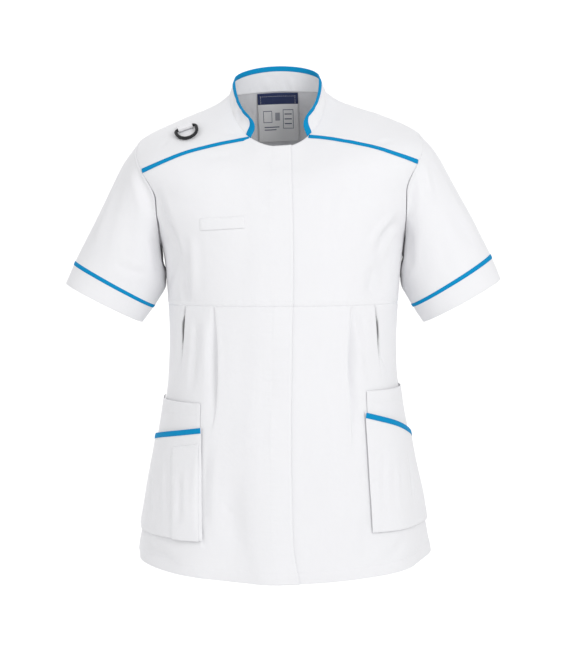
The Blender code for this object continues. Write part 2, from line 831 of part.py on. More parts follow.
def add_pocket(side, label):
    """Both layers of a hip pocket and the tape on its mouth. Returns the height of the outer layer."""
    sizes = next(row for row in POCKETS if row["side"] == side)
    inner_gape = stand_off(sizes, sizes["z_top"])
    outer_gape = stand_off(sizes, sizes["z_mouth_side"])
    step = POCKET_GAP + POCKET_WALL

    def inner_height(angle, level):
        return step + inner_gape(angle, level)

    def outer_height(angle, level):
        return 2 * step + inner_gape(angle, level) + outer_gape(angle, level)

    inner = pocket_layer(sizes, sizes["z_top"], sizes["z_top"], POCKET_ROWS + 1)
    outer = pocket_layer(sizes, sizes["z_mouth_edge"], sizes["z_mouth_side"], POCKET_ROWS)
    panel(f"pocket_inner_{label}", inner, side, inner_height, POCKET_WALL)
    panel(f"pocket_outer_{label}", outer, side, outer_height, POCKET_WALL)
    down = POCKET_TAPE_WIDTH / 2 + SEAM * 2
    mouth = [(angle, level - down) for angle, level in outer[-1]]
    mouth[0] = lerp(mouth[0], mouth[1], POCKET_TAPE_END)
    mouth[-1] = lerp(mouth[-1], mouth[-2], POCKET_TAPE_END)
    route = route_over(mouth, side, outer_height)
    tape(f"pocket_tape_{label}", route, POCKET_TAPE_WIDTH)
    return outer_height


def add_pen_pocket(under):
    def height(angle, level):
        return under(angle, level) + POCKET_GAP + TRIM_WALL

    corners = [place(*corner) for corner in PEN_CORNERS]
    panel("pen_pocket", box_patch(corners, 4, 6), -1, height, TRIM_WALL)


def add_badge_tab():
    corners = [place(*corner) for corner in BADGE_CORNERS]
    panel("badge_tab", box_patch(corners, 6, 2), -1, BADGE_LIFT + TRIM_WALL, TRIM_WALL)


def ring_seat():
    """Place and directions of the D-ring: middle of its bar, along the bar, down over the yoke, out."""
    angle, level = place(RING_X, RING_Z)
    angle = -angle
    point, _, _, normal = body_frame(angle, level)
    shoulder = body_point(-math.pi / 2, SHOULDER_TIP) - body_point(-math.pi / 2, NECK_LEVEL)
    along = (shoulder - normal * shoulder.dot(normal)).normalized()
    down = normal.cross(along).normalized()
    if down.y > 0:
        down = -down
    centre = point + normal * (LIFT + TRIM_WALL + TAB_CLEAR + RING_ROD)
    return angle, level, centre, along, down, normal


def add_ring_tab():
    """A strip folded round the bar: under layer on the yoke, over the bar and back on top."""
    angle, level, centre, along, down, normal = ring_seat()
    bend = RING_ROD + TAB_CLEAR
    spots = [walk(angle, level, -down, TAB_LENGTH * k / TAB_STEPS) for k in range(1, TAB_STEPS + 1)]
    frames = [(body_point(*spot), body_frame(*spot)[3]) for spot in spots]
    low = LIFT + TRIM_WALL + TAB_CLEAR
    high = LIFT + TRIM_WALL + bend * 2
    outer, inner = [], []
    for point, spot_normal in reversed(frames):
        outer.append(point + spot_normal * LIFT)
        inner.append(point + spot_normal * (LIFT + TRIM_WALL))
    for k in range(TAB_BEND_STEPS + 1):
        turn = math.pi * k / TAB_BEND_STEPS
        ray = down * math.sin(turn) - normal * math.cos(turn)
        outer.append(centre + ray * (bend + TRIM_WALL))
        inner.append(centre + ray * bend)
    for k, (point, spot_normal) in enumerate(frames, start=1):
        top = high + (low - high) * smoothstep(k / TAB_STEPS)
        outer.append(point + spot_normal * (top + TRIM_WALL))
        inner.append(point + spot_normal * top)
    shifts = [along * (TAB_WIDTH * share) for share in TAB_COLUMNS]
    skins = [[[point + shift for point in skin] for shift in shifts] for skin in (outer, inner)]
    cloth("ring_tab", *skins)


def add_shoulder_ring():
    """The D-ring: a straight bar in the tab and a round bow, with its origin on the bar's axis."""
    _, _, centre, along, down, normal = ring_seat()
    half = RING_WIDTH / 2
    corner = RING_CORNER
    turns = [math.pi / 2 * k / RING_CORNER_STEPS for k in range(1, RING_CORNER_STEPS)]
    rounded = [(half - corner + corner * math.sin(turn), corner - corner * math.cos(turn)) for turn in turns]
    spots = [(-half + corner, 0.0), (0.0, 0.0), (half - corner, 0.0), *rounded]
    for k in range(RING_BOW_STEPS + 1):
        turn = math.pi * k / RING_BOW_STEPS
        spots.append((half * math.cos(turn), corner + (RING_DEPTH - corner) * math.sin(turn) ** RING_BOW_POWER))
    spots += [(-x, y) for x, y in reversed(rounded)]
    curve = bpy.data.curves.new("shoulder_ring", "CURVE")
    curve.dimensions = "3D"
    curve.bevel_depth = RING_ROD
    curve.bevel_resolution = 2
    spline = curve.splines.new("POLY")
    spline.points.add(len(spots) - 1)
    for spot, (x, y) in zip(spline.points, spots):
        spot.co = (x, y, 0.0, 1.0)
    spline.use_cyclic_u = True
    obj = add_object("shoulder_ring", curve, "black_plastic")
    across = normal.cross(along)
    turned = Matrix((along, across, normal)).transposed()
    if across.dot(down) < 0:
        turned = Matrix((-along, -across, normal)).transposed()
    tilt = Matrix.Rotation(-RING_TILT, 3, "X")
    obj.matrix_world = Matrix.Translation(centre) @ (turned @ tilt).to_4x4()


def add_neck_label():
    """Hangs inside the back, from the neck seam down."""
    grid = []
    for r in range(LABEL_ROWS + 1):
        level = LABEL_BOTTOM + (LABEL_TOP - LABEL_BOTTOM) * r / LABEL_ROWS
        reach = math.asin(LABEL_WIDTH / 2 / ring(level)["back"])
        shares = [c / LABEL_COLUMNS for c in range(LABEL_COLUMNS + 1)]
        grid.append([(math.pi - reach + 2 * reach * share, level) for share in shares])
    panel("neck_label", grid, out=-WALL - LIFT, wall=TRIM_WALL, slot="label_cloth")


def build():
    for obj in list(bpy.data.objects):
        bpy.data.objects.remove(obj)
    bpy.context.scene.collection.children.link(bpy.data.collections.new(COLLECTION))
    panel("back", back_piece())
    for side, label in ((-1, "right"), (1, "left")):
        out = front_lap if side < 0 else 0.0
        panel(f"front_{label}_bodice", front_bodice(side), side, out)
        panel(f"front_{label}_skirt", lower_front(side), side, out)
        panel(f"yoke_{label}", yoke(side), side)
        add_yoke_tape(side, label)
        add_sleeve(side, label)
        under = add_pocket(side, label)
        if side < 0:
            add_pen_pocket(under)
    add_collar()
    add_collar_tape()
    add_badge_tab()
    add_ring_tab()
    add_shoulder_ring()
    add_neck_label()


build()
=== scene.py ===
"""Looks of the maternity tunic: cloth with creases and pleats, edging, sewing, label, ring and studio.

It is laid out as an add-on and run as a script. The cloth follows one smooth form, given by an angle
round the wearer (0 is centre front, 90 degrees the side, positive towards +X) and a level, the height
of that ring at the side.
"""

import math

import bpy
import numpy as np
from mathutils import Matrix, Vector


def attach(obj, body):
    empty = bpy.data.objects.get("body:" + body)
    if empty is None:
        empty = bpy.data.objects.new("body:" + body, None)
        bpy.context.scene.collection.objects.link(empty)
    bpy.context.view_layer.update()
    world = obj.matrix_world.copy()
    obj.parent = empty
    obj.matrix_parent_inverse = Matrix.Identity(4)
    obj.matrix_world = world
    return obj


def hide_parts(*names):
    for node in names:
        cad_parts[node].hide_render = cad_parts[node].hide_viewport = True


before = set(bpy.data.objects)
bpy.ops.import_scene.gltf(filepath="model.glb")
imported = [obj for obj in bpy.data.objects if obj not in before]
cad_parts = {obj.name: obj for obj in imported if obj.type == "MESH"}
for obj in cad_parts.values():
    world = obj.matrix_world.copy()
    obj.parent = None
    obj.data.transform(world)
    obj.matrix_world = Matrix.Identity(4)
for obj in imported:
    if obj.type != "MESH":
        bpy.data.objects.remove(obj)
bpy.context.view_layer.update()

bl_info = {
    "name": "Maternity tunic",
    "version": (1, 0, 0),
    "blender": (4, 5, 0),
    "location": "View3D > Sidebar > Tunic",
    "description": "Makes a worn-shape maternity tunic: cloth, edging, sewing, label, ring and studio",
    "category": "Add Mesh",
}


def table(columns, *rows):
    """Rows of sizes, each as a dictionary by column name."""
    return [dict(zip(columns.split(), row)) for row in rows]


# Levels of the main lines
HEM_LEVEL = -0.718
WAIST_SEAM = -0.318
UNDERARM = -0.222
SHOULDER_TIP = -0.056
NECK_LEVEL = 0.013

# Rings of the form, from hem to neck. The drops say how far centre front and centre back lie below the side.
SECTIONS = table(
    "level front_drop back_drop width front back square",
    (-0.718, 0.026, 0.017, 0.2340, 0.184, 0.172, 2.30),
    (-0.620, 0.012, 0.006, 0.2180, 0.178, 0.160, 2.30),
    (-0.520, 0.000, 0.000, 0.1970, 0.171, 0.146, 2.30),
    (-0.420, 0.000, 0.000, 0.1815, 0.163, 0.130, 2.35),
    (-0.318, 0.000, 0.000, 0.1830, 0.157, 0.120, 2.40),
    (-0.222, 0.002, 0.000, 0.1940, 0.150, 0.116, 2.50),
    (-0.140, 0.030, 0.000, 0.2200, 0.139, 0.114, 2.55),
    (-0.056, 0.060, 0.000, 0.2220, 0.116, 0.104, 2.45),
    (-0.022, 0.074, 0.000, 0.1520, 0.101, 0.086, 2.25),
    (0.000, 0.081, -0.003, 0.0960, 0.091, 0.069, 2.15),
    (0.013, 0.0855, -0.006, 0.0770, 0.085, 0.060, 2.10),
)
DROP_POWER = 1.2
WAVES = table("count height phase", (7, 0.0030, 0.4), (11, 0.0018, 1.7))
WAVE_FROM = -0.40

# The figure leans a little to its right: a small turn about a point at the waist, faded out below it
LEAN = 0.033
LEAN_CENTRE = -0.25
LEAN_FROM = -0.38
LEAN_TO = -0.12

# Armhole, an oval in angle and level. Its steps count from the shoulder tip over the front.
ARM_STEPS = 26
ARM_HALF_ANGLE = math.radians(22)
YOKE_STEP = 4
YOKE_SEAM_BULGE = 0.0075
UNDERARM_STEP = ARM_STEPS // 2

# Front closing: the edge of the right front, which lies on top, and how far the left front goes under it
CLOSING = table(
    "level x",
    (-0.718, 0.0250),
    (-0.680, 0.0175),
    (-0.600, 0.0135),
    (-0.380, 0.0135),
    (-0.250, 0.0155),
    (0.013, 0.0180),
)
UNDERLAP = 0.036
LAP_RISE = 0.0024
LAP_FADE = 0.034
NARROWEST_CUT = 0.0102
LAP_CLEAR = 0.011
LAP_GAP = 0.0002

# Pleats under the waist seam. The line is the sharp fold, in degrees from centre front at the levels.
# The valley on its outer side starts with a share of its depth, is full at open_at below the seam and
# gone at length. The mouth is how wide the painted shade inside a tightly shut pleat shows: a dark strip painted into
# the cloth's colour in place of the slit's shadow.
PLEAT_LEVELS = (-0.560, -0.470, -0.420, -0.370, -0.318)
PLEATS = table(
    "side line depth start open_at length wall narrow wide mouth",
    (-1, (39.0, 34.4, 34.8, 35.7, 37.3), 0.0088, 0.30, 0.085, 0.210, 0.0034, 0.0050, 0.0190, 0.0),
    (-1, (61.5, 60.8, 60.0, 58.0, 55.8), 0.0070, 0.80, 0.030, 0.110, 0.0008, 0.0042, 0.0052, 0.0062),
    (1, (34.4, 35.2, 34.6, 35.3, 36.6), 0.0088, 0.25, 0.085, 0.240, 0.0034, 0.0050, 0.0160, 0.0),
    (1, (57.5, 57.0, 55.9, 54.0, 51.4), 0.0070, 0.80, 0.030, 0.120, 0.0008, 0.0042, 0.0052, 0.0050),
)
PLEAT_RADIUS = 0.165
PLEAT_LIP = 0.10
PLEAT_LIP_AWAY = 0.003
PLEAT_LIP_WIDTH = 0.004
PLEAT_SEAM_TUCK = 0.004
PLEAT_FADE_FROM = 1.15
# Painted shade in the mouths of the shut pleats: where it opens and shuts below the seam, its least width, where it
# shows, and how its edges fade
MOUTH_OPEN_AT = 0.030
MOUTH_SHUTS_FROM = 0.036
MOUTH_SHUTS_OVER = 0.064
MOUTH_LEAST = 0.0001
MOUTH_SHOWS_FROM = 0.002
MOUTH_EDGE_AWAY = 0.0004
MOUTH_EDGE_WIDTH = 0.0006
MOUTH_DARK_SHARE = 0.8
MOUTH_BLUR_SHARE = 0.3
# Distances from the fold, in millimetres, at which the mesh has columns
PLEAT_COLUMNS = (
    *(-12, -8, -5, -3, -1.6, -0.8, 0),
    *(0.2, 0.4, 0.6, 0.8, 1.3, 1.8, 2.4, 3.2, 4.5, 6, 8, 10.5, 13.5, 17, 21),
)

# Soft troughs in the upper fronts, between two points of the front view
TROUGHS = table(
    "side x_top z_top x_bottom z_bottom depth half_width",
    (-1, 0.192, -0.150, 0.150, -0.330, 0.0045, 0.014),
    (1, 0.182, -0.175, 0.138, -0.330, 0.0045, 0.014),
)

# Creases of the body: three points each, in degrees and level, then depth and half width. A negative
# depth is a ridge.
BODY_CREASES = table(
    "angle0 level0 angle1 level1 angle2 level2 depth width",
    (-67.3, -0.112, -63.3, -0.178, -58.3, -0.259, 0.0030, 0.009),
    (-58.3, -0.259, -56.8, -0.286, -55.7, -0.316, 0.0022, 0.008),
    (-64.9, -0.131, -59.6, -0.196, -54.3, -0.249, -0.0012, 0.006),
    (-84.0, -0.310, -69.9, -0.263, -62.5, -0.212, 0.0016, 0.009),
    (-48.6, -0.326, -49.2, -0.388, -50.9, -0.463, 0.0020, 0.007),
    (-43.0, -0.327, -42.1, -0.387, -42.3, -0.452, -0.0012, 0.005),
    (-63.6, -0.343, -65.3, -0.390, -65.9, -0.454, -0.0014, 0.006),
    (-37.7, -0.522, -38.5, -0.598, -36.2, -0.675, 0.0020, 0.008),
    (-38.6, -0.643, -37.8, -0.662, -36.1, -0.681, 0.0010, 0.003),
    (-28.3, -0.566, -24.6, -0.634, -20.4, -0.698, 0.0012, 0.012),
    (-18.6, -0.431, -18.0, -0.565, -15.8, -0.686, -0.0007, 0.014),
    (-29.6, -0.607, -27.6, -0.620, -25.1, -0.625, 0.0008, 0.005),
    (-75.7, -0.033, -72.4, -0.041, -69.8, -0.054, 0.0009, 0.004),
    (-56.8, -0.006, -47.7, 0.001, -34.7, 0.008, 0.0008, 0.004),
    (-48.4, -0.051, -42.2, -0.036, -34.1, -0.031, 0.0006, 0.006),
    (-22.8, -0.045, -12.4, -0.117, -4.7, -0.149, 0.0005, 0.009),
    (-61.7, -0.475, -55.8, -0.483, -46.8, -0.484, 0.0009, 0.006),
    (68.1, -0.178, 57.5, -0.213, 52.4, -0.254, 0.0026, 0.009),
    (52.4, -0.254, 49.4, -0.281, 49.0, -0.310, 0.0022, 0.009),
    (62.2, -0.179, 53.4, -0.201, 48.0, -0.238, -0.0011, 0.006),
    (33.4, -0.088, 28.9, -0.154, 25.7, -0.222, 0.0008, 0.007),
    (42.8, -0.327, 43.5, -0.350, 47.2, -0.378, 0.0016, 0.006),
    (41.0, -0.365, 42.6, -0.402, 44.8, -0.446, -0.0013, 0.005),
    (56.0, -0.393, 59.4, -0.408, 65.0, -0.433, 0.0009, 0.003),
    (41.1, -0.617, 39.7, -0.659, 39.8, -0.708, 0.0013, 0.009),
    (30.9, -0.463, 26.3, -0.565, 25.9, -0.688, -0.0008, 0.014),
    (19.1, -0.354, 15.2, -0.462, 16.5, -0.564, 0.0005, 0.012),
    (60.2, -0.047, 64.7, -0.047, 68.2, -0.050, 0.0009, 0.004),
    (46.0, -0.011, 52.0, -0.030, 57.8, -0.045, 0.0006, 0.005),
    (39.9, -0.083, 44.9, -0.118, 49.2, -0.153, 0.0005, 0.009),
    (14.2, -0.369, 10.9, -0.493, 11.3, -0.632, 0.0004, 0.010),
    (52.7, -0.528, 48.9, -0.584, 49.5, -0.645, 0.0009, 0.005),
    (60.2, -0.539, 56.9, -0.596, 56.6, -0.640, -0.0008, 0.005),
    (72.1, -0.534, 71.0, -0.588, 69.0, -0.642, 0.0009, 0.006),
    (-78.4, -0.544, -70.4, -0.609, -68.6, -0.669, 0.0009, 0.005),
    (-65.4, -0.544, -60.6, -0.604, -57.3, -0.653, -0.0008, 0.005),
    (-52.4, -0.571, -48.4, -0.613, -50.3, -0.657, 0.0011, 0.006),
    (-46.9, -0.562, -47.6, -0.605, -44.5, -0.640, -0.0008, 0.005),
    (-50.5, -0.190, -50.0, -0.250, -51.0, -0.312, -0.0016, 0.008),
    (-74.0, -0.684, -60.0, -0.697, -46.0, -0.704, 0.0022, 0.010),
    (62.0, -0.662, 52.0, -0.690, 44.0, -0.702, 0.0014, 0.009),
    (114.0, -0.110, 123.0, -0.200, 133.0, -0.290, 0.0026, 0.012),
    (247.0, -0.100, 238.0, -0.210, 228.0, -0.300, 0.0023, 0.011),
    (121.0, -0.130, 131.0, -0.200, 142.0, -0.260, -0.0010, 0.009),
    (150.0, -0.290, 153.0, -0.400, 158.0, -0.530, 0.0022, 0.011),
    (209.0, -0.310, 205.0, -0.420, 200.0, -0.560, 0.0020, 0.012),
    (180.0, -0.340, 178.0, -0.450, 175.0, -0.600, 0.0012, 0.016),
    (127.0, -0.330, 127.0, -0.440, 123.0, -0.570, 0.0018, 0.010),
    (233.0, -0.340, 235.0, -0.450, 238.0, -0.570, 0.0016, 0.010),
    (140.0, -0.340, 141.0, -0.460, 144.0, -0.600, -0.0012, 0.010),
    (219.0, -0.330, 219.0, -0.460, 215.0, -0.620, -0.0013, 0.010),
    (158.0, 0.002, 180.0, -0.012, 202.0, 0.000, 0.0008, 0.006),
    (142.0, -0.050, 150.0, -0.120, 165.0, -0.170, 0.0009, 0.014),
    (220.0, -0.060, 211.0, -0.120, 196.0, -0.160, 0.0008, 0.014),
    (151.0, -0.640, 151.0, -0.680, 153.0, -0.714, 0.0011, 0.008),
    (207.0, -0.620, 206.0, -0.670, 204.0, -0.714, 0.0010, 0.008),
    (103.0, -0.230, 112.0, -0.255, 124.0, -0.265, 0.0013, 0.007),
    (256.0, -0.232, 247.0, -0.262, 234.0, -0.276, 0.0012, 0.007),
)

# Creases of the sleeves: three points each, in steps round the sleeve and shares from armhole to hem
SLEEVE_CREASES = table(
    "side step0 along0 step1 along1 step2 along2 depth width",
    (-1, 3.2, 0.03, 5.3, 0.07, 8.1, 0.10, 0.0026, 0.008),
    (-1, 1.6, 0.26, 2.3, 0.46, 3.0, 0.72, -0.0012, 0.010),
    (-1, 5.4, 0.21, 6.0, 0.47, 6.9, 0.77, 0.0009, 0.012),
    (-1, 5.4, 0.69, 7.3, 0.67, 9.2, 0.60, 0.0008, 0.006),
    (-1, 8.5, 0.12, 9.5, 0.32, 10.2, 0.58, 0.0018, 0.008),
    (-1, 0.5, 0.10, 0.9, 0.30, 1.0, 0.55, 0.0010, 0.008),
    (1, 4.4, 0.03, 6.3, 0.06, 9.0, 0.08, 0.0022, 0.007),
    (1, 3.3, 0.06, 4.7, 0.20, 5.2, 0.33, -0.0015, 0.006),
    (1, 3.8, 0.36, 3.4, 0.58, 2.9, 0.76, 0.0012, 0.010),
    (1, 5.8, 0.47, 6.2, 0.64, 6.7, 0.78, 0.0009, 0.009),
    (1, 8.8, 0.14, 9.6, 0.34, 10.0, 0.60, 0.0016, 0.008),
    (1, 1.8, 0.10, 1.5, 0.32, 1.4, 0.60, 0.0009, 0.008),
    (-1, 17.5, 0.05, 20.0, 0.30, 21.0, 0.62, 0.0017, 0.010),
    (1, 18.2, 0.04, 20.4, 0.28, 21.6, 0.58, 0.0015, 0.010),
    (-1, 22.0, 0.03, 23.3, 0.07, 24.8, 0.06, 0.0016, 0.007),
    (1, 21.6, 0.03, 23.0, 0.08, 24.6, 0.05, 0.0015, 0.007),
    (-1, 10.8, 0.20, 13.0, 0.30, 15.4, 0.20, 0.0020, 0.009),
    (1, 10.6, 0.22, 13.0, 0.31, 15.6, 0.21, 0.0019, 0.009),
    (-1, 11.0, 0.45, 13.0, 0.52, 15.2, 0.44, 0.0013, 0.008),
    (1, 11.2, 0.47, 13.0, 0.55, 15.0, 0.45, 0.0012, 0.008),
)

# Creases of the stand collar: three points each, in shares from its left front end and of its height
COLLAR_CREASES = table(
    "share0 height0 share1 height1 share2 height2 depth width",
    (0.935, 0.04, 0.930, 0.40, 0.925, 0.78, 0.0012, 0.0040),
    (0.905, 0.02, 0.900, 0.38, 0.905, 0.74, -0.0009, 0.0032),
    (0.880, 0.05, 0.872, 0.42, 0.875, 0.80, 0.0011, 0.0042),
    (0.070, 0.06, 0.075, 0.45, 0.082, 0.80, 0.0009, 0.0040),
    (0.110, 0.02, 0.118, 0.36, 0.116, 0.70, 0.0007, 0.0045),
    (0.420, 0.04, 0.432, 0.36, 0.440, 0.62, 0.0006, 0.0045),
    (0.560, 0.05, 0.552, 0.30, 0.548, 0.60, 0.0006, 0.0050),
    (0.240, 0.05, 0.250, 0.40, 0.248, 0.75, 0.0007, 0.0050),
    (0.750, 0.05, 0.742, 0.40, 0.745, 0.72, 0.0007, 0.0050),
)

# Hidden studs under the closing, which press faint rounds into the cloth
STUDS = table(
    "angle level",
    (0.6, -0.059),
    (-1.1, -0.164),
    (-1.7, -0.250),
    (-2.7, -0.388),
    (1.0, -0.518),
    (0.5, -0.600),
)
STUD_RADIUS = 0.0062
STUD_RISE = 0.0007

# Slow unevenness of the whole cloth: direction in space, wavelength and height
UNDULATIONS = table(
    "x y z wavelength height",
    (0.9, 0.3, 0.4, 0.115, 0.00045),
    (-0.5, 0.6, 0.7, 0.083, 0.00035),
    (0.2, -0.8, 0.5, 0.061, 0.00022),
    (1.0, 0.2, -0.3, 0.047, 0.00016),
)

# Collar
COLLAR_CORNER = math.radians(32)
COLLAR_TOP_WIDTH = 0.0675
COLLAR_TOP_FRONT = 0.089
COLLAR_TOP_BACK = 0.061
COLLAR_TOP_SIDE = 0.036
COLLAR_TOP_DROP = 0.072
COLLAR_TOP_RISE = 0.023
COLLAR_TAPE_WIDTH = 0.0085
COLLAR_TAPE_WALL = 0.0023
COLLAR_TAPE_RADIUS = 0.0092
COLLAR_CLEAR = 0.0005
COLLAR_TUCK = 0.0004
COLLAR_SQUARE = 2.1
COLLAR_RISE_POWER = 0.8
COLLAR_LAP = 0.0015
COLLAR_WALLS = 1.4
COLLAR_FOOT_STITCH = 0.0035
COLLAR_TAPE_STITCH = 0.0013

# How far the collar's front edges lean in at half height, and how soon that fades up, down and backwards
PINCH_RIGHT = 0.0088
PINCH_LEFT = 0.0060
PINCH_HEIGHT_POWER = 1.5
PINCH_ROUND_POWER = 2

# Sleeve rings in the front view, from below the armhole to the hem: outer and inner point, half depth
# and y of the middle
SLEEVE_RINGS = table(
    "x_outer z_outer x_inner z_inner half_depth y_middle",
    (0.2480, -0.0890, 0.1900, -0.2430, 0.0760, 0.000),
    (0.2760, -0.1420, 0.1860, -0.2660, 0.0710, -0.002),
    (0.3030, -0.1930, 0.1868, -0.2890, 0.0660, -0.004),
    (0.3270, -0.2400, 0.2015, -0.3170, 0.0610, -0.006),
    (0.3465, -0.2850, 0.2240, -0.3500, 0.0560, -0.008),
)
CUFF_START = 0.845

# Rough lengths across the back and along a sleeve, which set how finely they are divided
BACK_WIDTH = 0.47
SLEEVE_LENGTH = 0.285

# Tapes
YOKE_TAPE_WIDTH = 0.0072
CUFF_TAPE_WIDTH = 0.0075
POCKET_TAPE_WIDTH = 0.0085
TAPE_LIFT = 0.0005
TAPE_FACE = 0.0004
TAPE_BED = 0.0003
POCKET_TAPE_INSET = 0.0004

# Hip pockets, in the front view: front edge, bottom, top of the inner layer and mouth of the outer one
POCKETS = table(
    "side x_edge_top x_edge_bottom z_bottom_edge z_bottom_side z_top z_mouth_edge z_mouth_side gape",
    (-1, 0.1275, 0.1270, -0.680, -0.6780, -0.470, -0.5065, -0.535, 0.0016),
    (1, 0.1285, 0.1400, -0.668, -0.6680, -0.451, -0.4830, -0.532, 0.0016),
)
POCKET_BACK_ANGLE = math.radians(98)
POCKET_STEP = 0.0021
POCKET_FRONT_SHIFT = 0.0026

# Pen pocket on the right hip pocket and badge strip on the right chest, in the front view
PEN_CORNERS = ((0.1285, -0.681), (0.1680, -0.681), (0.1285, -0.532), (0.1680, -0.541))
PEN_LIFT = 0.75
PEN_WALL = 0.0008
BADGE_CORNERS = ((0.0570, -0.1960), (0.1265, -0.1985), (0.0570, -0.1775), (0.1265, -0.1800))
BADGE_LIFT = 0.0013
BADGE_WALL = 0.0007

# D-ring on the right yoke and the tab that holds it
RING_X = 0.1460
RING_Z = -0.0405
RING_ROD = 0.0026
RING_WIDTH = 0.0335
RING_DEPTH = 0.0300
RING_CORNER = 0.006
RING_TILT = math.radians(3)
TAB_WIDTH = 0.0230
TAB_LENGTH = 0.0170
TAB_CLEAR = 0.0004
TAB_WALL = 0.0009

# Label inside the back neck
LABEL_WIDTH = 0.062
LABEL_TOP = 0.0115
LABEL_BOTTOM = -0.0600
LABEL_BAND = 0.80
LABEL_LIFT = 0.0021
LABEL_CURL = 0.0022
LABEL_RIPPLE = 0.0006
LABEL_WALL = 0.0006

# How a cut edge is sewn: where its stitches run, how far the turned cloth behind it reaches, how high
# that stands, how deep the edge itself dips, and the distances from the edge that the mesh needs
EDGES = {
    "seam": {"stitch": 0.0, "reach": 0.0, "rise": 0.0, "dip": 0.0007, "steps": (0, 0.0008, 0.0018, 0.0040)},
    "neck": {"stitch": 0.0, "reach": 0.0, "rise": 0.0, "dip": 0.0001, "steps": (0, 0.0008, 0.0018, 0.0040)},
    "topstitched": {
        "stitch": 0.0068,
        "reach": 0.0085,
        "rise": 0.0004,
        "dip": 0.0008,
        "steps": (0, 0.0008, 0.0018, 0.0058, 0.0068, 0.0078, 0.0092, 0.0112),
    },
    "shoulder": {
        "stitch": 0.0095,
        "reach": 0.0110,
        "rise": 0.0004,
        "dip": 0.0008,
        "steps": (0, 0.0008, 0.0018, 0.0050, 0.0085, 0.0095, 0.0105, 0.0120),
    },
    "hem": {
        "stitch": 0.0163,
        "reach": 0.0176,
        "rise": 0.0005,
        "dip": 0.0003,
        "steps": (0, 0.0008, 0.0020, 0.0060, 0.0105, 0.0153, 0.0163, 0.0173, 0.0190),
    },
    "fold": {"stitch": 0.0, "reach": 0.0, "rise": 0.0, "dip": 0.0003, "steps": (0, 0.0007, 0.0016, 0.0040)},
    "closing": {
        "stitch": 0.0300,
        "reach": 0.0310,
        "rise": 0.0003,
        "dip": 0.0003,
        "steps": (0, 0.0007, 0.0016, 0.0040, 0.0290, 0.0300, 0.0310),
    },
    "patch": {
        "stitch": 0.0018,
        "reach": 0.0,
        "rise": 0.0,
        "dip": 0.0005,
        "steps": (0, 0.0006, 0.0012, 0.0018, 0.0026, 0.0044),
    },
    "mouth": {
        "stitch": 0.0185,
        "reach": 0.0195,
        "rise": 0.0003,
        "dip": 0.0003,
        "steps": (0, 0.0007, 0.0016, 0.0060, 0.0175, 0.0185, 0.0195, 0.0210),
    },
    "tape": {"stitch": 0.0012, "reach": 0.0, "rise": 0.0, "dip": 0.0004, "steps": (0, 0.0004, 0.0012, 0.0020)},
    "bare": {"stitch": 0.0, "reach": 0.0, "rise": 0.0, "dip": 0.0, "steps": (0, 0.0020)},
}
STITCH_SINK = 0.00018
STITCH_GROOVE = 0.00032
STITCH_GROOVE_WIDTH = 0.0007
PUCKER_REACH = 0.011

# Brightness of the painted shade inside a tightly shut pleat, where the cloth's colour is darkened in place of the
# slit's shadow
PLEAT_PAINTED_SHADE = 0.22

# Camera and stage
VIEW_CENTRE = (0.0, 0.0, -0.355)
VIEW_DISTANCE = 4.0
VIEW_ELEVATION = math.radians(3.5)
VIEW_SCALE = 0.0016
VIEW_PIXELS = 568
FLOOR_Z = -1.45
FLOOR_FRONT = -4.5
FLOOR_BACK = 4.2
WALL_CURVE = 2.4
WALL_TOP = 6.5
STAGE_HALF_WIDTH = 9.0
WORLD_STRENGTH = 0.72
LIGHTS = table(
    "name spot aim size power",
    ("key", (1.9, -2.9, 1.3), VIEW_CENTRE, 1.5, 50.0),
    ("fill", (-2.6, -2.2, 0.6), VIEW_CENTRE, 2.2, 17.0),
    ("rear", (-1.4, 3.0, 1.6), VIEW_CENTRE, 2.0, 26.0),
    ("wall", (0.0, 4.6, 3.6), (0.0, 7.0, -0.6), 4.0, 120.0),
)

white_rows = []
blue_rows = []


def smoothstep(value):
    value = np.clip(value, 0.0, 1.0)
    return value * value * (3 - 2 * value)


def bell(value):
    return np.exp(-value * value)


def unit(vectors):
    return vectors / np.maximum(np.linalg.norm(vectors, axis=-1, keepdims=True), 1e-12)


def curve_value(keys, values, key):
    """A smooth curve through the values at their keys, straight beyond the ends."""
    keys, values, key = (np.asarray(numbers, float) for numbers in (keys, values, key))
    steps = np.diff(keys)
    secants = np.diff(values) / steps
    slopes = np.concatenate([secants, secants[-1:]])
    slopes[1:-1] = (secants[:-1] * steps[1:] + secants[1:] * steps[:-1]) / (steps[:-1] + steps[1:])
    i = np.clip(np.searchsorted(keys, key, side="right") - 1, 0, len(keys) - 2)
    t = (key - keys[i]) / steps[i]
    s = np.clip(t, 0, 1)
    ends = (1 + 2 * s) * (1 - s) ** 2 * values[i] + s * s * (3 - 2 * s) * values[i + 1]
    bends = (s * (1 - s) ** 2 * slopes[i] + s * s * (s - 1) * slopes[i + 1]) * steps[i]
    beyond = (np.minimum(t, 0) * slopes[i] + np.maximum(t - 1, 0) * slopes[i + 1]) * steps[i]
    return ends + bends + beyond


def column_value(rows, key_name, name, key):
    return curve_value([row[key_name] for row in rows], [row[name] for row in rows], key)


def ring(level):
    """The form's sizes at each level, by name."""
    return {name: column_value(SECTIONS, "level", name, level) for name in SECTIONS[0] if name != "level"}


def ring_point(angle, level):
    """Points of the form before its waves, folds and lean."""
    sizes = ring(level)
    sine, cosine = np.sin(angle), np.cos(angle)
    in_front = cosine > 0
    depth = np.where(in_front, sizes["front"], sizes["back"])
    power = sizes["square"]
    reach = (np.abs(sine) / sizes["width"]) ** power + (np.abs(cosine) / depth) ** power
    radius = reach ** (-1 / power)
    drop = np.where(in_front, sizes["front_drop"], sizes["back_drop"])
    return np.stack([radius * sine, -radius * cosine, level - drop * np.abs(cosine) ** DROP_POWER], axis=-1)


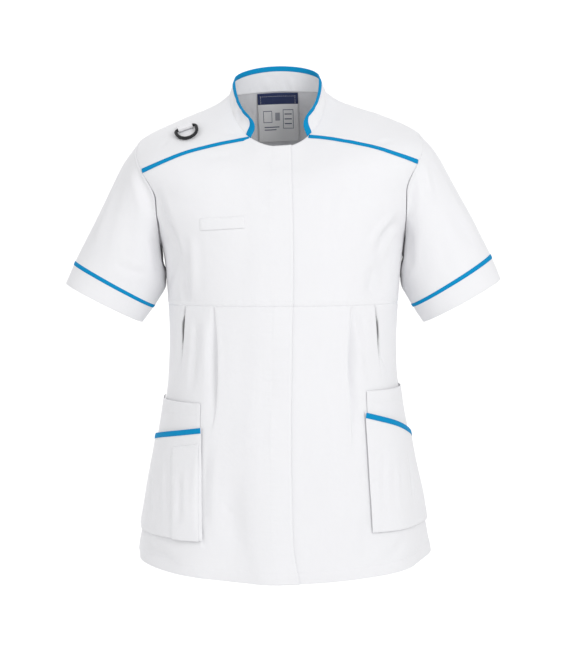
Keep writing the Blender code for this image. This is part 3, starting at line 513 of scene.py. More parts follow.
def angle_at(x, level):
    """Angle of the front point of a ring that lies at x."""
    sizes = ring(level)
    share = np.clip(np.abs(x) / sizes["width"], 0, 0.9999)
    depth = sizes["front"] * (1 - share ** sizes["square"]) ** (1 / sizes["square"])
    return np.arctan2(np.clip(x, -sizes["width"], sizes["width"]), depth)


def place(x, z):
    """Angle and level of the point of the front that shows at x and z, before the lean."""
    low, high = HEM_LEVEL - 0.02, NECK_LEVEL + 0.01
    for _ in range(40):
        level = (low + high) / 2
        if ring_point(angle_at(x, level), level)[2] < z:
            low = level
        else:
            high = level
    return float(angle_at(x, level)), level


def pleat_line(pleat, level):
    return np.radians(curve_value(PLEAT_LEVELS, pleat["line"], np.maximum(level, PLEAT_LEVELS[0])))


def pleat_depth(angle, level):
    """How far the pleats sink the cloth: a sharp fold towards the centre, a slow rise away from it."""
    return pleat_values(angle, level)[0]


def pleat_values(angle, level):
    """Depth of the pleats, and the painted shade inside the tightly shut ones, which darkens the cloth's colour in
    place of their slits' shadow.
    """
    below = WAIST_SEAM - level
    total = np.zeros(np.shape(angle))
    shade = np.zeros(np.shape(angle))
    for pleat in PLEATS:
        here = (pleat["side"] * angle > 0) & (np.abs(angle) < math.pi / 2) & (below > 0)
        out = (np.abs(angle) - pleat_line(pleat, level)) * PLEAT_RADIUS
        opened = smoothstep(below / pleat["open_at"])
        width = pleat["narrow"] + (pleat["wide"] - pleat["narrow"]) * opened
        depth = pleat["depth"] * (pleat["start"] + (1 - pleat["start"]) * opened)
        fade_from = pleat["open_at"] * PLEAT_FADE_FROM
        gone = smoothstep((below - fade_from) / (pleat["length"] - fade_from))
        depth = depth * smoothstep(below / PLEAT_SEAM_TUCK) * (1 - gone)
        valley = smoothstep(out / pleat["wall"]) * (1 - smoothstep((out - pleat["wall"]) / width))
        lip = PLEAT_LIP * bell((out + PLEAT_LIP_AWAY) / PLEAT_LIP_WIDTH)
        total += np.where(here, depth * (valley - lip), 0.0)
        # Painted shade: a dark strip in the mouth of each shut pleat, later mixed into the cloth's colour
        if pleat["mouth"]:
            shut = smoothstep((below - MOUTH_SHUTS_FROM) / MOUTH_SHUTS_OVER)
            gape = pleat["mouth"] * smoothstep(below / MOUTH_OPEN_AT) * (1 - shut) + MOUTH_LEAST
            past = smoothstep((out - gape * MOUTH_DARK_SHARE) / (gape * MOUTH_BLUR_SHARE))
            inside = smoothstep((out + MOUTH_EDGE_AWAY) / MOUTH_EDGE_WIDTH) * (1 - past)
            shade += np.where(here, inside * smoothstep(gape / MOUTH_SHOWS_FROM), 0.0)
    return total, shade


def trough_depth(angle, point):
    """How far the soft troughs of the upper fronts sink the cloth."""
    x, z = np.abs(point[..., 0]), point[..., 2]
    total = np.zeros(np.shape(angle))
    for trough in TROUGHS:
        along = (trough["z_top"] - z) / (trough["z_top"] - trough["z_bottom"])
        middle = trough["x_top"] + (trough["x_bottom"] - trough["x_top"]) * along
        ends = smoothstep(along / 0.35) * (1 - smoothstep((along - 0.75) / 0.25))
        ends = ends * smoothstep((math.pi / 2 - np.abs(angle)) / 0.14)
        sunk = trough["depth"] * ends * bell((x - middle) / trough["half_width"])
        total += np.where(trough["side"] * angle > 0, sunk, 0.0)
    return total


def wave_height(angle, level):
    fade = smoothstep((WAVE_FROM - level) / (WAVE_FROM - HEM_LEVEL))
    return fade * sum(wave["height"] * np.cos(wave["count"] * angle + wave["phase"]) for wave in WAVES)


def leaned(point):
    x, y, z = np.moveaxis(point, -1, 0)
    share = LEAN * smoothstep((z - LEAN_FROM) / (LEAN_TO - LEAN_FROM))
    return np.stack([x - share * (z - LEAN_CENTRE), y, z + share * x], axis=-1)


def body_form(angle, level):
    """Points of the cloth's smooth form, with its pleats, troughs and flare waves."""
    angle, level = np.broadcast_arrays(np.asarray(angle, float), np.asarray(level, float))
    point = ring_point(angle, level)
    out = wave_height(angle, level) - pleat_depth(angle, level) - trough_depth(angle, point)
    outward = np.stack([np.sin(angle), -np.cos(angle), np.zeros(angle.shape)], axis=-1)
    return leaned(point + outward * out[..., None])


def armhole(step):
    """Angle and level of a step round the armhole of the left side."""
    turn = 2 * math.pi * np.asarray(step, float) / ARM_STEPS
    middle = (SHOULDER_TIP + UNDERARM) / 2
    half = (SHOULDER_TIP - UNDERARM) / 2
    return math.pi / 2 - ARM_HALF_ANGLE * np.sin(turn), middle + half * np.cos(turn)


def sleeve_form(side, step, along):
    """Points of a sleeve: step counts round it as on the armhole, along runs from armhole 0 to hem 1."""
    step, along = np.broadcast_arrays(np.asarray(step, float), np.asarray(along, float))
    turn = 2 * math.pi * step / ARM_STEPS
    share = (1 + np.cos(turn)) / 2
    rings = [ring_point(*armhole(step))]
    for row in SLEEVE_RINGS:
        x = row["x_inner"] + (row["x_outer"] - row["x_inner"]) * share
        z = row["z_inner"] + (row["z_outer"] - row["z_inner"]) * share
        rings.append(np.stack([x, row["y_middle"] - row["half_depth"] * np.sin(turn), z], axis=-1))
    rings = np.array(rings)
    count = len(rings) - 1
    slopes = np.concatenate([rings[1:2] - rings[:1], (rings[2:] - rings[:-2]) / 2, rings[-1:] - rings[-2:-1]])
    i = np.clip(np.floor(along * count).astype(int), 0, count - 1)
    s = (along * count - i)[..., None]

    def taken(values, k):
        return np.take_along_axis(values, k[None, ..., None], axis=0)[0]

    point = (1 + 2 * s) * (1 - s) ** 2 * taken(rings, i) + s * s * (3 - 2 * s) * taken(rings, i + 1)
    point = point + s * (1 - s) ** 2 * taken(slopes, i) + s * s * (s - 1) * taken(slopes, i + 1)
    return leaned(point * np.array([side, 1, 1]))


def collar_form(share, height):
    """Points of the collar: share runs from its left front end round to the right one, height is 0 to 1."""
    share, height = np.broadcast_arrays(np.asarray(share, float), np.asarray(height, float))
    angle = COLLAR_CORNER + (2 * math.pi - 2 * COLLAR_CORNER) * share
    base = ring_point(angle, np.full(angle.shape, NECK_LEVEL))
    sine, cosine = np.sin(angle), np.cos(angle)
    depth = np.where(cosine > 0, COLLAR_TOP_FRONT, COLLAR_TOP_BACK)
    reach = (np.abs(sine) / COLLAR_TOP_WIDTH) ** COLLAR_SQUARE + (np.abs(cosine) / depth) ** COLLAR_SQUARE
    radius = reach ** (-1 / COLLAR_SQUARE)
    drop = COLLAR_TOP_DROP * np.abs(cosine) ** DROP_POWER
    rise = np.where(cosine > 0, -drop, COLLAR_TOP_RISE * np.abs(cosine) ** COLLAR_RISE_POWER)
    top = np.stack([radius * sine, -radius * cosine, COLLAR_TOP_SIDE + rise], axis=-1)
    middle = np.maximum(np.sin(math.pi * height), 0) ** PINCH_HEIGHT_POWER
    in_front = np.maximum(cosine, 0) ** PINCH_ROUND_POWER
    lean_in = np.where(sine < 0, PINCH_RIGHT, PINCH_LEFT) * in_front * middle
    inward = np.stack([-np.sign(sine) * lean_in, 0 * sine, 0 * sine], axis=-1)
    return leaned(base + (top - base) * height[..., None] + inward)


def framed(form, first, second, steps=(0.004, 0.0006)):
    """Points of a form and their normals, from its two directions in turn."""
    across = form(first + steps[0], second) - form(first - steps[0], second)
    upward = form(first, second + steps[1]) - form(first, second - steps[1])
    return form(first, second), unit(np.cross(across, upward))


def crease_lines(rows, names, form):
    """The creases' paths over a form, each with its depth and half width."""
    lines = []
    for row in rows:
        ends = np.array([[row[f"{name}{k}"] for name in names] for k in range(3)], float)
        t = np.linspace(0, 1, 10)[:, None]
        bend = 2 * ends[1] - (ends[0] + ends[2]) / 2
        path = (1 - t) ** 2 * ends[0] + 2 * t * (1 - t) * bend + t * t * ends[2]
        lines.append((form(row, path[:, 0], path[:, 1]), row["depth"], row["width"]))
    return lines


def crease_height(points, lines):
    """Height of the creases at points: a trough with a low ridge on either side, faded at both ends."""
    flat = points.reshape(-1, 3)
    height = np.zeros(len(flat))
    for path, depth, width in lines:
        reach = 3.2 * width
        near = np.all((flat > path.min(0) - reach) & (flat < path.max(0) + reach), axis=1)
        if not near.any():
            continue
        spots = flat[near]
        best = np.full(len(spots), 1e9)
        share = np.zeros(len(spots))
        count = len(path) - 1
        for k in range(count):
            step = path[k + 1] - path[k]
            t = np.clip((spots - path[k]) @ step / max(step @ step, 1e-12), 0, 1)
            distance = np.linalg.norm(spots - path[k] - t[:, None] * step, axis=1)
            closer = distance < best
            best = np.where(closer, distance, best)
            share = np.where(closer, (k + t) / count, share)
        q = best / width
        ends = smoothstep(share / 0.35) * smoothstep((1 - share) / 0.35)
        height[near] -= depth * ends * (bell(q) - 0.25 * bell((q - 2.0) / 0.7))
    return height.reshape(points.shape[:-1])


def undulation(points):
    total = 0.0
    for wave in UNDULATIONS:
        direction = unit(np.array([wave["x"], wave["y"], wave["z"]]))
        turn = points @ direction * (2 * math.pi / wave["wavelength"])
        total = total + wave["height"] * np.sin(turn + 7 * wave["x"])
    return total


def body_creases():
    def form(row, angle, level):
        return body_form(np.radians(angle), level)

    return crease_lines(BODY_CREASES, ("angle", "level"), form)


def sleeve_creases():
    def form(row, step, along):
        return sleeve_form(row["side"], step, along)

    return crease_lines(SLEEVE_CREASES, ("step", "along"), form)


def stud_height(points):
    studs = body_form(np.radians([row["angle"] for row in STUDS]), np.array([row["level"] for row in STUDS]))
    total = np.zeros(points.shape[:-1])
    for stud in studs:
        distance = np.linalg.norm(points - stud, axis=-1) / STUD_RADIUS
        total += STUD_RISE * (1 - smoothstep((distance - 0.75) / 0.6))
    return total


def body_surface(angle, level):
    """Points of the creased cloth and the form's outward normals."""
    point, normal = framed(body_form, angle, level)
    strength = bpy.context.scene.tunic_sizes.crease_strength
    height = crease_height(point, body_creases()) * strength + undulation(point)
    return point + normal * height[..., None], normal


def edge_relief(distance, kind):
    """Height of a sewn edge at distances from it, and how much the cloth puckers there."""
    edge = EDGES[kind]
    height = -edge["dip"] * (1 - smoothstep(distance / 0.0017))
    pucker = np.zeros(np.shape(distance))
    if edge["rise"]:
        height = height + edge["rise"] * (1 - smoothstep((distance - edge["reach"]) / 0.0013))
    if edge["stitch"]:
        groove = bell((distance - edge["stitch"]) / STITCH_GROOVE_WIDTH)
        height = height - STITCH_GROOVE * groove
        pucker = bell((distance - edge["stitch"]) / PUCKER_REACH)
    elif kind == "seam":
        pucker = 0.6 * bell(distance / PUCKER_REACH)
    return height, pucker


def spaced(length, spacing, low, high):
    """Distances from 0 to length: those that the two sewn edges need, and even ones between."""
    start = [step for step in EDGES[low]["steps"] if step < length / 2]
    end = [length - step for step in EDGES[high]["steps"] if step < length / 2]
    count = max(1, round((end[-1] - start[-1]) / spacing))
    between = np.linspace(start[-1], end[-1], count + 1)[1:-1]
    return np.array(sorted([*start, *between, *end]))


def sampled(path, shares):
    """Points of an edge, given as dense rows of angle and level, at shares of its length on the cloth."""
    points = body_form(path[:, 0], path[:, 1])
    lengths = np.concatenate([[0], np.cumsum(np.linalg.norm(np.diff(points, axis=0), axis=1))])
    return np.stack([np.interp(shares * lengths[-1], lengths, path[:, k]) for k in range(2)], axis=-1)


def path_length(path):
    points = body_form(path[:, 0], path[:, 1])
    return float(np.linalg.norm(np.diff(points, axis=0), axis=1).sum())


def straight(start, end, count=60):
    share = np.linspace(0, 1, count)[:, None]
    return np.array(start) * (1 - share) + np.array(end) * share


def filled(bottom, top, left, right, spacing, kinds):
    """A grid of angles and levels between four edges, close together where the sewn edges need it."""
    width = (path_length(bottom) + path_length(top)) / 2
    height = (path_length(left) + path_length(right)) / 2
    us = spaced(width, spacing, kinds["left"], kinds["right"]) / width
    vs = spaced(height, spacing, kinds["bottom"], kinds["top"]) / height
    bottom, top = sampled(bottom, us), sampled(top, us)
    left, right = sampled(left, vs), sampled(right, vs)
    u, v = us[None, :, None], vs[:, None, None]
    across = (1 - u) * left[:, None] + u * right[:, None]
    upward = (1 - v) * bottom[None] + v * top[None]
    corners = (1 - v) * ((1 - u) * bottom[0] + u * bottom[-1]) + v * ((1 - u) * top[0] + u * top[-1])
    return across + upward - corners


def four_cornered(low_front, low_back, high_front, high_back, spacing, kinds):
    return filled(
        straight(low_front, low_back),
        straight(high_front, high_back),
        straight(low_front, high_front),
        straight(low_back, high_back),
        spacing,
        kinds,
    )


def on_side(grid, side):
    """A grid of the left half, moved to the wearer's right for side -1, with its columns still towards +X."""
    if side > 0:
        return grid
    flipped = grid[:, ::-1].copy()
    flipped[..., 0] *= -1
    return flipped


def on_side_kinds(kinds, side):
    return kinds if side > 0 else {**kinds, "left": kinds["right"], "right": kinds["left"]}


def measured(points):
    """Distances over the cloth from the left and bottom edges, and the lengths of each row and column."""
    across = np.linalg.norm(np.diff(points, axis=1), axis=-1)
    upward = np.linalg.norm(np.diff(points, axis=0), axis=-1)
    u = np.concatenate([np.zeros((len(points), 1)), np.cumsum(across, axis=1)], axis=1)
    v = np.concatenate([np.zeros((1, points.shape[1])), np.cumsum(upward, axis=0)], axis=0)
    return u, v


def relief(points, kinds):
    """Heights and puckers of a panel from its four sewn edges."""
    u, v = measured(points)
    height = np.zeros(u.shape)
    puckers = {"u": np.zeros(u.shape), "v": np.zeros(u.shape)}
    sides = (("left", u, "v"), ("right", u[:, -1:] - u, "v"), ("bottom", v, "u"), ("top", v[-1:] - v, "u"))
    for name, distance, way in sides:
        if name in kinds:
            rise, pucker = edge_relief(distance, kinds[name])
            height += rise
            puckers[way] = np.maximum(puckers[way], pucker)
    return height, puckers, u, v


def stitch_rows(outer, normal, u, v, kinds, rows):
    """Keeps the lines of the panel's stitches."""
    sunk = outer - normal * STITCH_SINK
    for name, kind in kinds.items():
        distance = EDGES[kind]["stitch"]
        if not distance:
            continue
        if name in ("left", "right"):
            from_edge = u if name == "left" else u[:, -1:] - u
            middle = from_edge[len(u) // 2]
            rows.append(sunk[:, int(np.argmin(np.abs(middle - distance)))])
        else:
            from_edge = v if name == "bottom" else v[-1:] - v
            middle = from_edge[:, v.shape[1] // 2]
            rows.append(sunk[int(np.argmin(np.abs(middle - distance)))])


def skin_faces(index, tube):
    following = np.roll(index, -1, axis=1) if tube else index[:, 1:]
    first = index if tube else index[:, :-1]
    return np.stack([first[:-1], following[:-1], following[1:], first[1:]], axis=-1).reshape(-1, 4)


def shell(name, outer, inner, uv, slot, tube=False, puckers=None):
    """A thin wall between two skins of points, with a rounded rim."""
    rows, columns = outer.shape[:2]
    total = rows * columns
    index = np.arange(total).reshape(rows, columns)
    faces = [skin_faces(index, tube)]
    faces.append(faces[0][:, ::-1] + total)
    away = np.zeros(outer.shape)
    away[0] += unit(outer[0] - outer[1])
    away[-1] += unit(outer[-1] - outer[-2])
    if tube:
        loops = [index[0], index[-1][::-1]]
    else:
        away[:, 0] += unit(outer[:, 0] - outer[:, 1])
        away[:, -1] += unit(outer[:, -1] - outer[:, -2])
        loops = [np.concatenate([index[0, :-1], index[:-1, -1], index[-1, :0:-1], index[:0:-1, 0]])]
    flat_outer, flat_inner, flat_away = (values.reshape(-1, 3) for values in (outer, inner, unit(away)))
    points = [flat_outer, flat_inner]
    source = [np.arange(total), np.arange(total)]
    made = 2 * total
    for loop in loops:
        gap = np.linalg.norm(flat_outer[loop] - flat_inner[loop], axis=1, keepdims=True)
        points.append((flat_outer[loop] + flat_inner[loop]) / 2 + flat_away[loop] * gap * 0.35)
        source.append(loop)
        middle = made + np.arange(len(loop))
        made += len(loop)
        for near, far in ((loop, middle), (middle, loop + total)):
            faces.append(np.stack([near, far, np.roll(far, -1), np.roll(near, -1)], axis=-1))
    points, source, faces = (np.concatenate(parts) for parts in (points, source, faces))
    mesh = bpy.data.meshes.new(name)
    mesh.vertices.add(len(points))
    mesh.vertices.foreach_set("co", points.astype(np.float32).ravel())
    mesh.loops.add(faces.size)
    mesh.loops.foreach_set("vertex_index", faces.astype(np.int32).ravel())
    mesh.polygons.add(len(faces))
    mesh.polygons.foreach_set("loop_start", np.arange(0, faces.size, 4, dtype=np.int32))
    mesh.update(calc_edges=True)
    layer = mesh.uv_layers.new(name="cloth")
    layer.data.foreach_set("uv", uv.reshape(-1, 2)[source][faces.ravel()].astype(np.float32).ravel())
    # The fold entry, stored as pucker_fold, carries the painted pleat shade; the others are real puckers
    for way, values in (puckers or {}).items():
        attribute = mesh.attributes.new(f"pucker_{way}", "FLOAT", "POINT")
        attribute.data.foreach_set("value", values.ravel()[source].astype(np.float32))
    mesh.validate()
    mesh.shade_smooth()
    mesh.set_sharp_from_angle(angle=math.radians(70))
    piece = bpy.data.objects.new(name, mesh)
    bpy.context.scene.collection.objects.link(piece)
    mesh.materials.append(cloth_finish(slot))
    return piece


def settle(piece, node, slot, body="garment"):
    """Rides on its body in place of its solid."""
    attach(piece, body)
    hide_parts(node)
    return piece


def declare(skin, on=(), tube=False):
    """Works out the cut of what shows, the widest row, the longest column and the area of the cloth, and keeps none
    of them.
    """
    closed = np.concatenate([skin, skin[:, :1]], axis=1) if tube else skin
    first, second = closed[1:, 1:] - closed[:-1, :-1], closed[1:, :-1] - closed[:-1, 1:]
    area = float(np.linalg.norm(np.cross(first, second), axis=-1).sum() / 2)
    width = float(np.linalg.norm(np.diff(closed, axis=1), axis=-1).sum(axis=1).max())
    length = float(np.linalg.norm(np.diff(closed, axis=0), axis=-1).sum(axis=0).max())
    width, length = max(width, NARROWEST_CUT), max(length, NARROWEST_CUT)
    list(on)


def panel(node, grid, side, kinds, out=None, wall=None, on=()):
    """A cut piece of the body, or one laid on another: out and wall may be functions of angle and level."""
    grid = on_side(grid, side)
    kinds = on_side_kinds(kinds, side)
    angle, level = grid[..., 0], grid[..., 1]
    point, normal = body_surface(angle, level)
    height, puckers, u, v = relief(point, kinds)
    if out is not None:
        height = height + out(angle, level)
    # The fold entry is painted shade, not a pucker: it darkens the cloth's colour inside the shut pleats
    puckers["fold"] = 0.0 * height if on else pleat_values(angle, level)[1]
    thick = bpy.context.scene.tunic_sizes.cloth_wall if wall is None else wall
    if callable(thick):
        thick = thick(angle, level)
    outer = point + normal * height[..., None]
    inner = outer - normal * (np.zeros(height.shape) + thick)[..., None]
    stitch_rows(outer, normal, u, v, kinds, white_rows)
    uv = np.stack([u - u[:, -1:] / 2, v], axis=-1)
    piece = shell(f"{node}_cloth", outer, inner, uv, "white_cloth", puckers=puckers)
    declare(outer, on)
    return settle(piece, node, "white_cloth")


def closing_x(level):
    return column_value(CLOSING, "level", "x", level)


def lap_share(angle, level):
    """Where the right front lies on the left one."""
    x = ring_point(angle, level)[..., 0]
    return smoothstep((x - closing_x(level) + UNDERLAP + LAP_CLEAR + LAP_FADE) / LAP_FADE)


def front_out(side):
    def height(angle, level):
        studs = stud_height(body_form(angle, level))
        return LAP_RISE * lap_share(angle, level) + studs if side < 0 else np.zeros(angle.shape)

    return height


def front_wall(side):
    thin = bpy.context.scene.tunic_sizes.cloth_wall

    def thickness(angle, level):
        more = (LAP_RISE - LAP_GAP - thin) * lap_share(angle, level) if side < 0 else 0.0
        return thin + more

    return thickness


def closing_edge(level, side):
    """Angle of the closing edge: the right front passes the centre, the left one goes under."""
    x = closing_x(level)
    return angle_at(-x if side < 0 else x - UNDERLAP, level)


def yoke_seam():
    """From the collar's corner to the armhole, a little arched as cut."""
    ends = np.array([(COLLAR_CORNER, NECK_LEVEL), [float(value) for value in armhole(YOKE_STEP)]])
    first, last = ring_point(ends[:, 0], ends[:, 1])
    spots = []
    for share in np.linspace(0, 1, 25)[1:-1]:
        x, _, z = first + (last - first) * share
        spots.append(place(x, z + YOKE_SEAM_BULGE * math.sin(math.pi * share)))
    return np.array([ends[0], *spots, ends[1]])


def arm_path(first, last, count=80):
    return np.stack(armhole(np.linspace(first, last, count)), axis=-1)


def make_bodice(side, label, spacing):
    levels = np.linspace(WAIST_SEAM, NECK_LEVEL, 60)
    left = np.stack([closing_edge(levels, side), levels], axis=-1)
    side_seam = straight((math.pi / 2, WAIST_SEAM), (math.pi / 2, UNDERARM))
    right = np.concatenate([side_seam[:-1], arm_path(UNDERARM_STEP, YOKE_STEP)])
    bottom = straight(left[0], right[0])
    top = np.concatenate([straight(left[-1], (COLLAR_CORNER, NECK_LEVEL))[:-1], yoke_seam()])
    closing = "closing" if side < 0 else "fold"
    kinds = {"left": closing, "right": "seam", "bottom": "topstitched", "top": "seam"}
    grid = filled(bottom, top, left, right, spacing, kinds)
    return panel(f"front_{label}_bodice", grid, side, kinds, front_out(side), front_wall(side))


def make_yoke(side, label, spacing):
    tip = (math.pi / 2, SHOULDER_TIP)
    corner = (COLLAR_CORNER, NECK_LEVEL)
    left = straight(corner, (math.pi / 2, NECK_LEVEL))
    top = straight((math.pi / 2, NECK_LEVEL), tip)
    kinds = {"left": "neck", "right": "seam", "bottom": "seam", "top": "shoulder"}
    grid = filled(yoke_seam(), top, left, arm_path(YOKE_STEP, 0), spacing, kinds)
    return panel(f"yoke_{label}", grid, side, kinds)


def skirt_grid(side, spacing, kinds):
    """Rows by level and columns by angle, which lean with the pleats and close up at them."""
    levels = HEM_LEVEL + spaced(WAIST_SEAM - HEM_LEVEL, spacing, kinds["bottom"], kinds["top"])
    start = float(closing_edge(WAIST_SEAM, side))
    width = (math.pi / 2 - start) * PLEAT_RADIUS
    base = start + spaced(width, spacing * 0.85, kinds["left"], kinds["right"]) / PLEAT_RADIUS
    anchors = sorted(
        (float(pleat_line(pleat, WAIST_SEAM)), k) for k, pleat in enumerate(PLEATS) if pleat["side"] == side
    )
    for line, _ in anchors:
        fine = line + np.array(PLEAT_COLUMNS) / 1000 / PLEAT_RADIUS
        base = base[(base < fine[0]) | (base > fine[-1])]
        base = np.sort(np.concatenate([base, fine]))
    edge_zone = start + 0.034 / PLEAT_RADIUS
    at_waist = [start, edge_zone, *(line for line, _ in anchors), math.pi / 2]
    grid = []
    for level in levels:
        edge = float(closing_edge(level, side))
        lines = [float(pleat_line(PLEATS[k], level)) for _, k in anchors]
        row = np.interp(base, at_waist, [edge, edge_zone + edge - start, *lines, math.pi / 2])
        grid.append(np.stack([row, np.full(row.shape, level)], axis=-1))
    return np.array(grid)


def make_skirt(side, label, spacing):
    closing = "closing" if side < 0 else "fold"
    kinds = {"left": closing, "right": "seam", "bottom": "hem", "top": "seam"}
    grid = skirt_grid(side, spacing, kinds)
    return panel(f"front_{label}_skirt", grid, side, kinds, front_out(side), front_wall(side))


def make_back(spacing):
    side_seam = straight((math.pi / 2, HEM_LEVEL), (math.pi / 2, UNDERARM), 200)
    shoulder = straight((math.pi / 2, SHOULDER_TIP), (math.pi / 2, NECK_LEVEL))
    edge = np.concatenate([side_seam[:-1], arm_path(UNDERARM_STEP, ARM_STEPS)[:-1], shoulder])
    kinds = {"left": "seam", "right": "seam", "bottom": "hem", "top": "seam"}
    height = path_length(edge)
    rows = sampled(edge, spaced(height, spacing, "hem", "seam") / height)
    shares = spaced(BACK_WIDTH, spacing, "seam", "seam") / BACK_WIDTH
    angle = rows[:, :1] + (2 * math.pi - 2 * rows[:, :1]) * shares
    grid = np.stack([angle, np.broadcast_to(rows[:, 1:], angle.shape)], axis=-1)
    return panel("back", grid, 1, kinds)


def make_sleeve(side, label, spacing):
    """The sleeve, its cuff and the tape over their seam."""
    lines = [line for line, row in zip(sleeve_creases(), SLEEVE_CREASES) if row["side"] == side]
    sizes = bpy.context.scene.tunic_sizes
    steps = np.linspace(0, ARM_STEPS, 150, endpoint=False)
    if side > 0:
        steps = steps[::-1]
    half_tape = CUFF_TAPE_WIDTH / 2 / SLEEVE_LENGTH

    def skins(alongs, height, wall):
        step, along = np.meshgrid(steps, alongs)

        def form(first, second):
            return sleeve_form(side, first, second)

        point, normal = framed(form, step, along, (0.1, -0.01))
        normal = normal * -side
        crease = crease_height(point, lines) * sizes.crease_strength + undulation(point)
        crease = crease * smoothstep(along / 0.04)
        outer = point + normal * (crease + height[:, None])[..., None]
        u, v = measured(outer)
        return outer, outer - normal * wall, np.stack([u, v], axis=-1)

    def ringed(node, start, end, low, high, slot, lift, wall, rows, on=()):
        distances = spaced((end - start) * SLEEVE_LENGTH, spacing, low, high)
        alongs = end - distances / SLEEVE_LENGTH
        height = edge_relief(distances, low)[0] + edge_relief(distances[-1] - distances, high)[0] + lift
        outer, inner, uv = skins(alongs, height, wall)
        pucker = edge_relief(distances, low)[1] + edge_relief(distances[-1] - distances, high)[1]
        puckers = {"u": np.broadcast_to(pucker[:, None], outer.shape[:2]), "v": np.zeros(outer.shape[:2])}
        piece = shell(f"{node}_cloth", outer, inner, uv, slot, tube=True, puckers=puckers)
        for name, kind, from_edge in (("low", low, distances), ("high", high, distances[-1] - distances)):
            stitch = EDGES[kind]["stitch"]
            if stitch:
                r = int(np.argmin(np.abs(from_edge - stitch)))
                rows.append(np.concatenate([outer[r], outer[r, :1]]))
        declare(outer, on, tube=True)
        return settle(piece, node, slot)

    cloth = ("white_cloth", 0.0, sizes.cloth_wall, white_rows)
    ringed(f"sleeve_{label}", 0.0, CUFF_START, "seam", "seam", *cloth)
    ringed(f"cuff_{label}", CUFF_START, 1.0, "fold", "seam", *cloth)
    tape = (CUFF_START - half_tape, CUFF_START + half_tape)
    lift = TAPE_LIFT + TAPE_FACE
    under = [f"cuff_{label}", f"sleeve_{label}"]
    ringed(f"cuff_tape_{label}", *tape, "tape", "tape", "blue_tape", lift, sizes.tape_wall, blue_rows, under)


def make_collar(spacing):
    """The stand collar and the binding round its edge."""
    sizes = bpy.context.scene.tunic_sizes
    top_edge = collar_form(np.linspace(0, 1, 241), 1.0)
    length = float(np.linalg.norm(np.diff(top_edge, axis=0), axis=1).sum())

    def height_at(share):
        return np.linalg.norm(collar_form(share, 1.0) - collar_form(share, 0.0), axis=-1)

    def form(row, share, height):
        return collar_form(share, height)

    lines = crease_lines(COLLAR_CREASES, ("share", "height"), form)

    def skin(share, height, out):
        point, normal = framed(collar_form, share, height, (0.002, 0.02))
        crease = crease_height(point, lines) * sizes.crease_strength + undulation(point) * 0.6
        return point + normal * (crease + out)[..., None], normal

    end = (COLLAR_TAPE_WIDTH - COLLAR_LAP) / length
    columns = round(length / spacing)
    shares = end + (1 - 2 * end) * np.linspace(0, 1, columns + 1)
    foot = -COLLAR_TUCK / height_at(shares)
    top = 1 - (COLLAR_TAPE_WIDTH - COLLAR_LAP) / height_at(shares)
    v = np.array([0, 0.03, 0.07, *np.linspace(0.13, 1, 12)])[:, None]
    share = np.broadcast_to(shares, (len(v), len(shares)))
    height = foot + (top - foot) * v
    dip = -0.0001 * (1 - smoothstep(v * 0.04 / 0.0017)) + np.zeros(share.shape)
    outer, normal = skin(share, height, dip)
    inner = outer - normal * sizes.cloth_wall * COLLAR_WALLS
    u, v_length = measured(outer)
    puckers = {"u": bell(v_length / PUCKER_REACH), "v": np.zeros(u.shape)}
    uv = np.stack([u, v_length], axis=-1)
    piece = shell("collar_cloth", outer, inner, uv, "white_cloth", puckers=puckers)
    declare(outer)
    settle(piece, "collar", "white_cloth")
    stitched = foot + COLLAR_FOOT_STITCH / height_at(shares)
    white_rows.append(skin(shares, stitched, -STITCH_SINK * np.ones(shares.shape))[0])

    radius = COLLAR_TAPE_RADIUS
    side_height = float(height_at(np.array([COLLAR_TAPE_WIDTH / length]))[0])
    upright = np.linspace(COLLAR_CLEAR, side_height - radius, 12)[:-1]
    arc = np.radians(np.linspace(0, 90, 9))
    crown = np.linspace(radius / length, 1 - radius / length, round(length / spacing))[1:-1]

    def binding_row(inset):
        """Share and height of a line of the binding at an inset from its outer edge."""
        bend = radius - inset
        across = np.concatenate([np.full(upright.shape, inset), radius - bend * np.cos(arc)])
        raised = np.concatenate([upright, side_height - radius + bend * np.sin(arc)])
        start = across / length
        raised = raised / height_at(start)
        top_line = 1 - inset / height_at(crown)
        share = np.concatenate([start, crown, 1 - start[::-1]])
        return share, np.concatenate([raised, top_line, raised[::-1]])

    half_wall = COLLAR_TAPE_WALL / 2
    mid = -(sizes.cloth_wall * COLLAR_WALLS) / 2
    section = [(COLLAR_TAPE_WIDTH - step, half_wall) for step in (0, 0.0005, 0.0014, 0.0030, 0.0052)]
    section = [(inset, out - (0.0005 if k == 0 else 0)) for k, (inset, out) in enumerate(section)]
    turn = np.radians(np.linspace(60, -60, 5))
    fold = [(half_wall * (1 - math.cos(t)) * 0.9, half_wall * math.sin(t)) for t in turn]
    section = section + fold + [(inset, -out) for inset, out in reversed(section)]
    rows = []
    for inset, out in section:
        share, raised = binding_row(inset)
        rows.append(skin(share, raised, np.full(share.shape, mid + out))[0])
    binding_skin = np.array(rows)[::-1]
    u, v_length = measured(binding_skin)
    binding = shell(
        "collar_tape_cloth",
        binding_skin,
        binding_skin - (binding_skin - binding_skin.mean(axis=0)) * 0.2,
        np.stack([u, v_length], axis=-1),
        "blue_tape",
        puckers={"u": np.ones(u.shape) * 0.6, "v": np.zeros(u.shape)},
    )
    declare(binding_skin, ["collar"])
    settle(binding, "collar_tape", "blue_tape")
    for sign in (1, -1):
        share, raised = binding_row(COLLAR_TAPE_WIDTH - COLLAR_TAPE_STITCH)
        out = mid + sign * (half_wall - STITCH_SINK / 2)
        blue_rows.append(skin(share, raised, np.full(share.shape, out))[0])


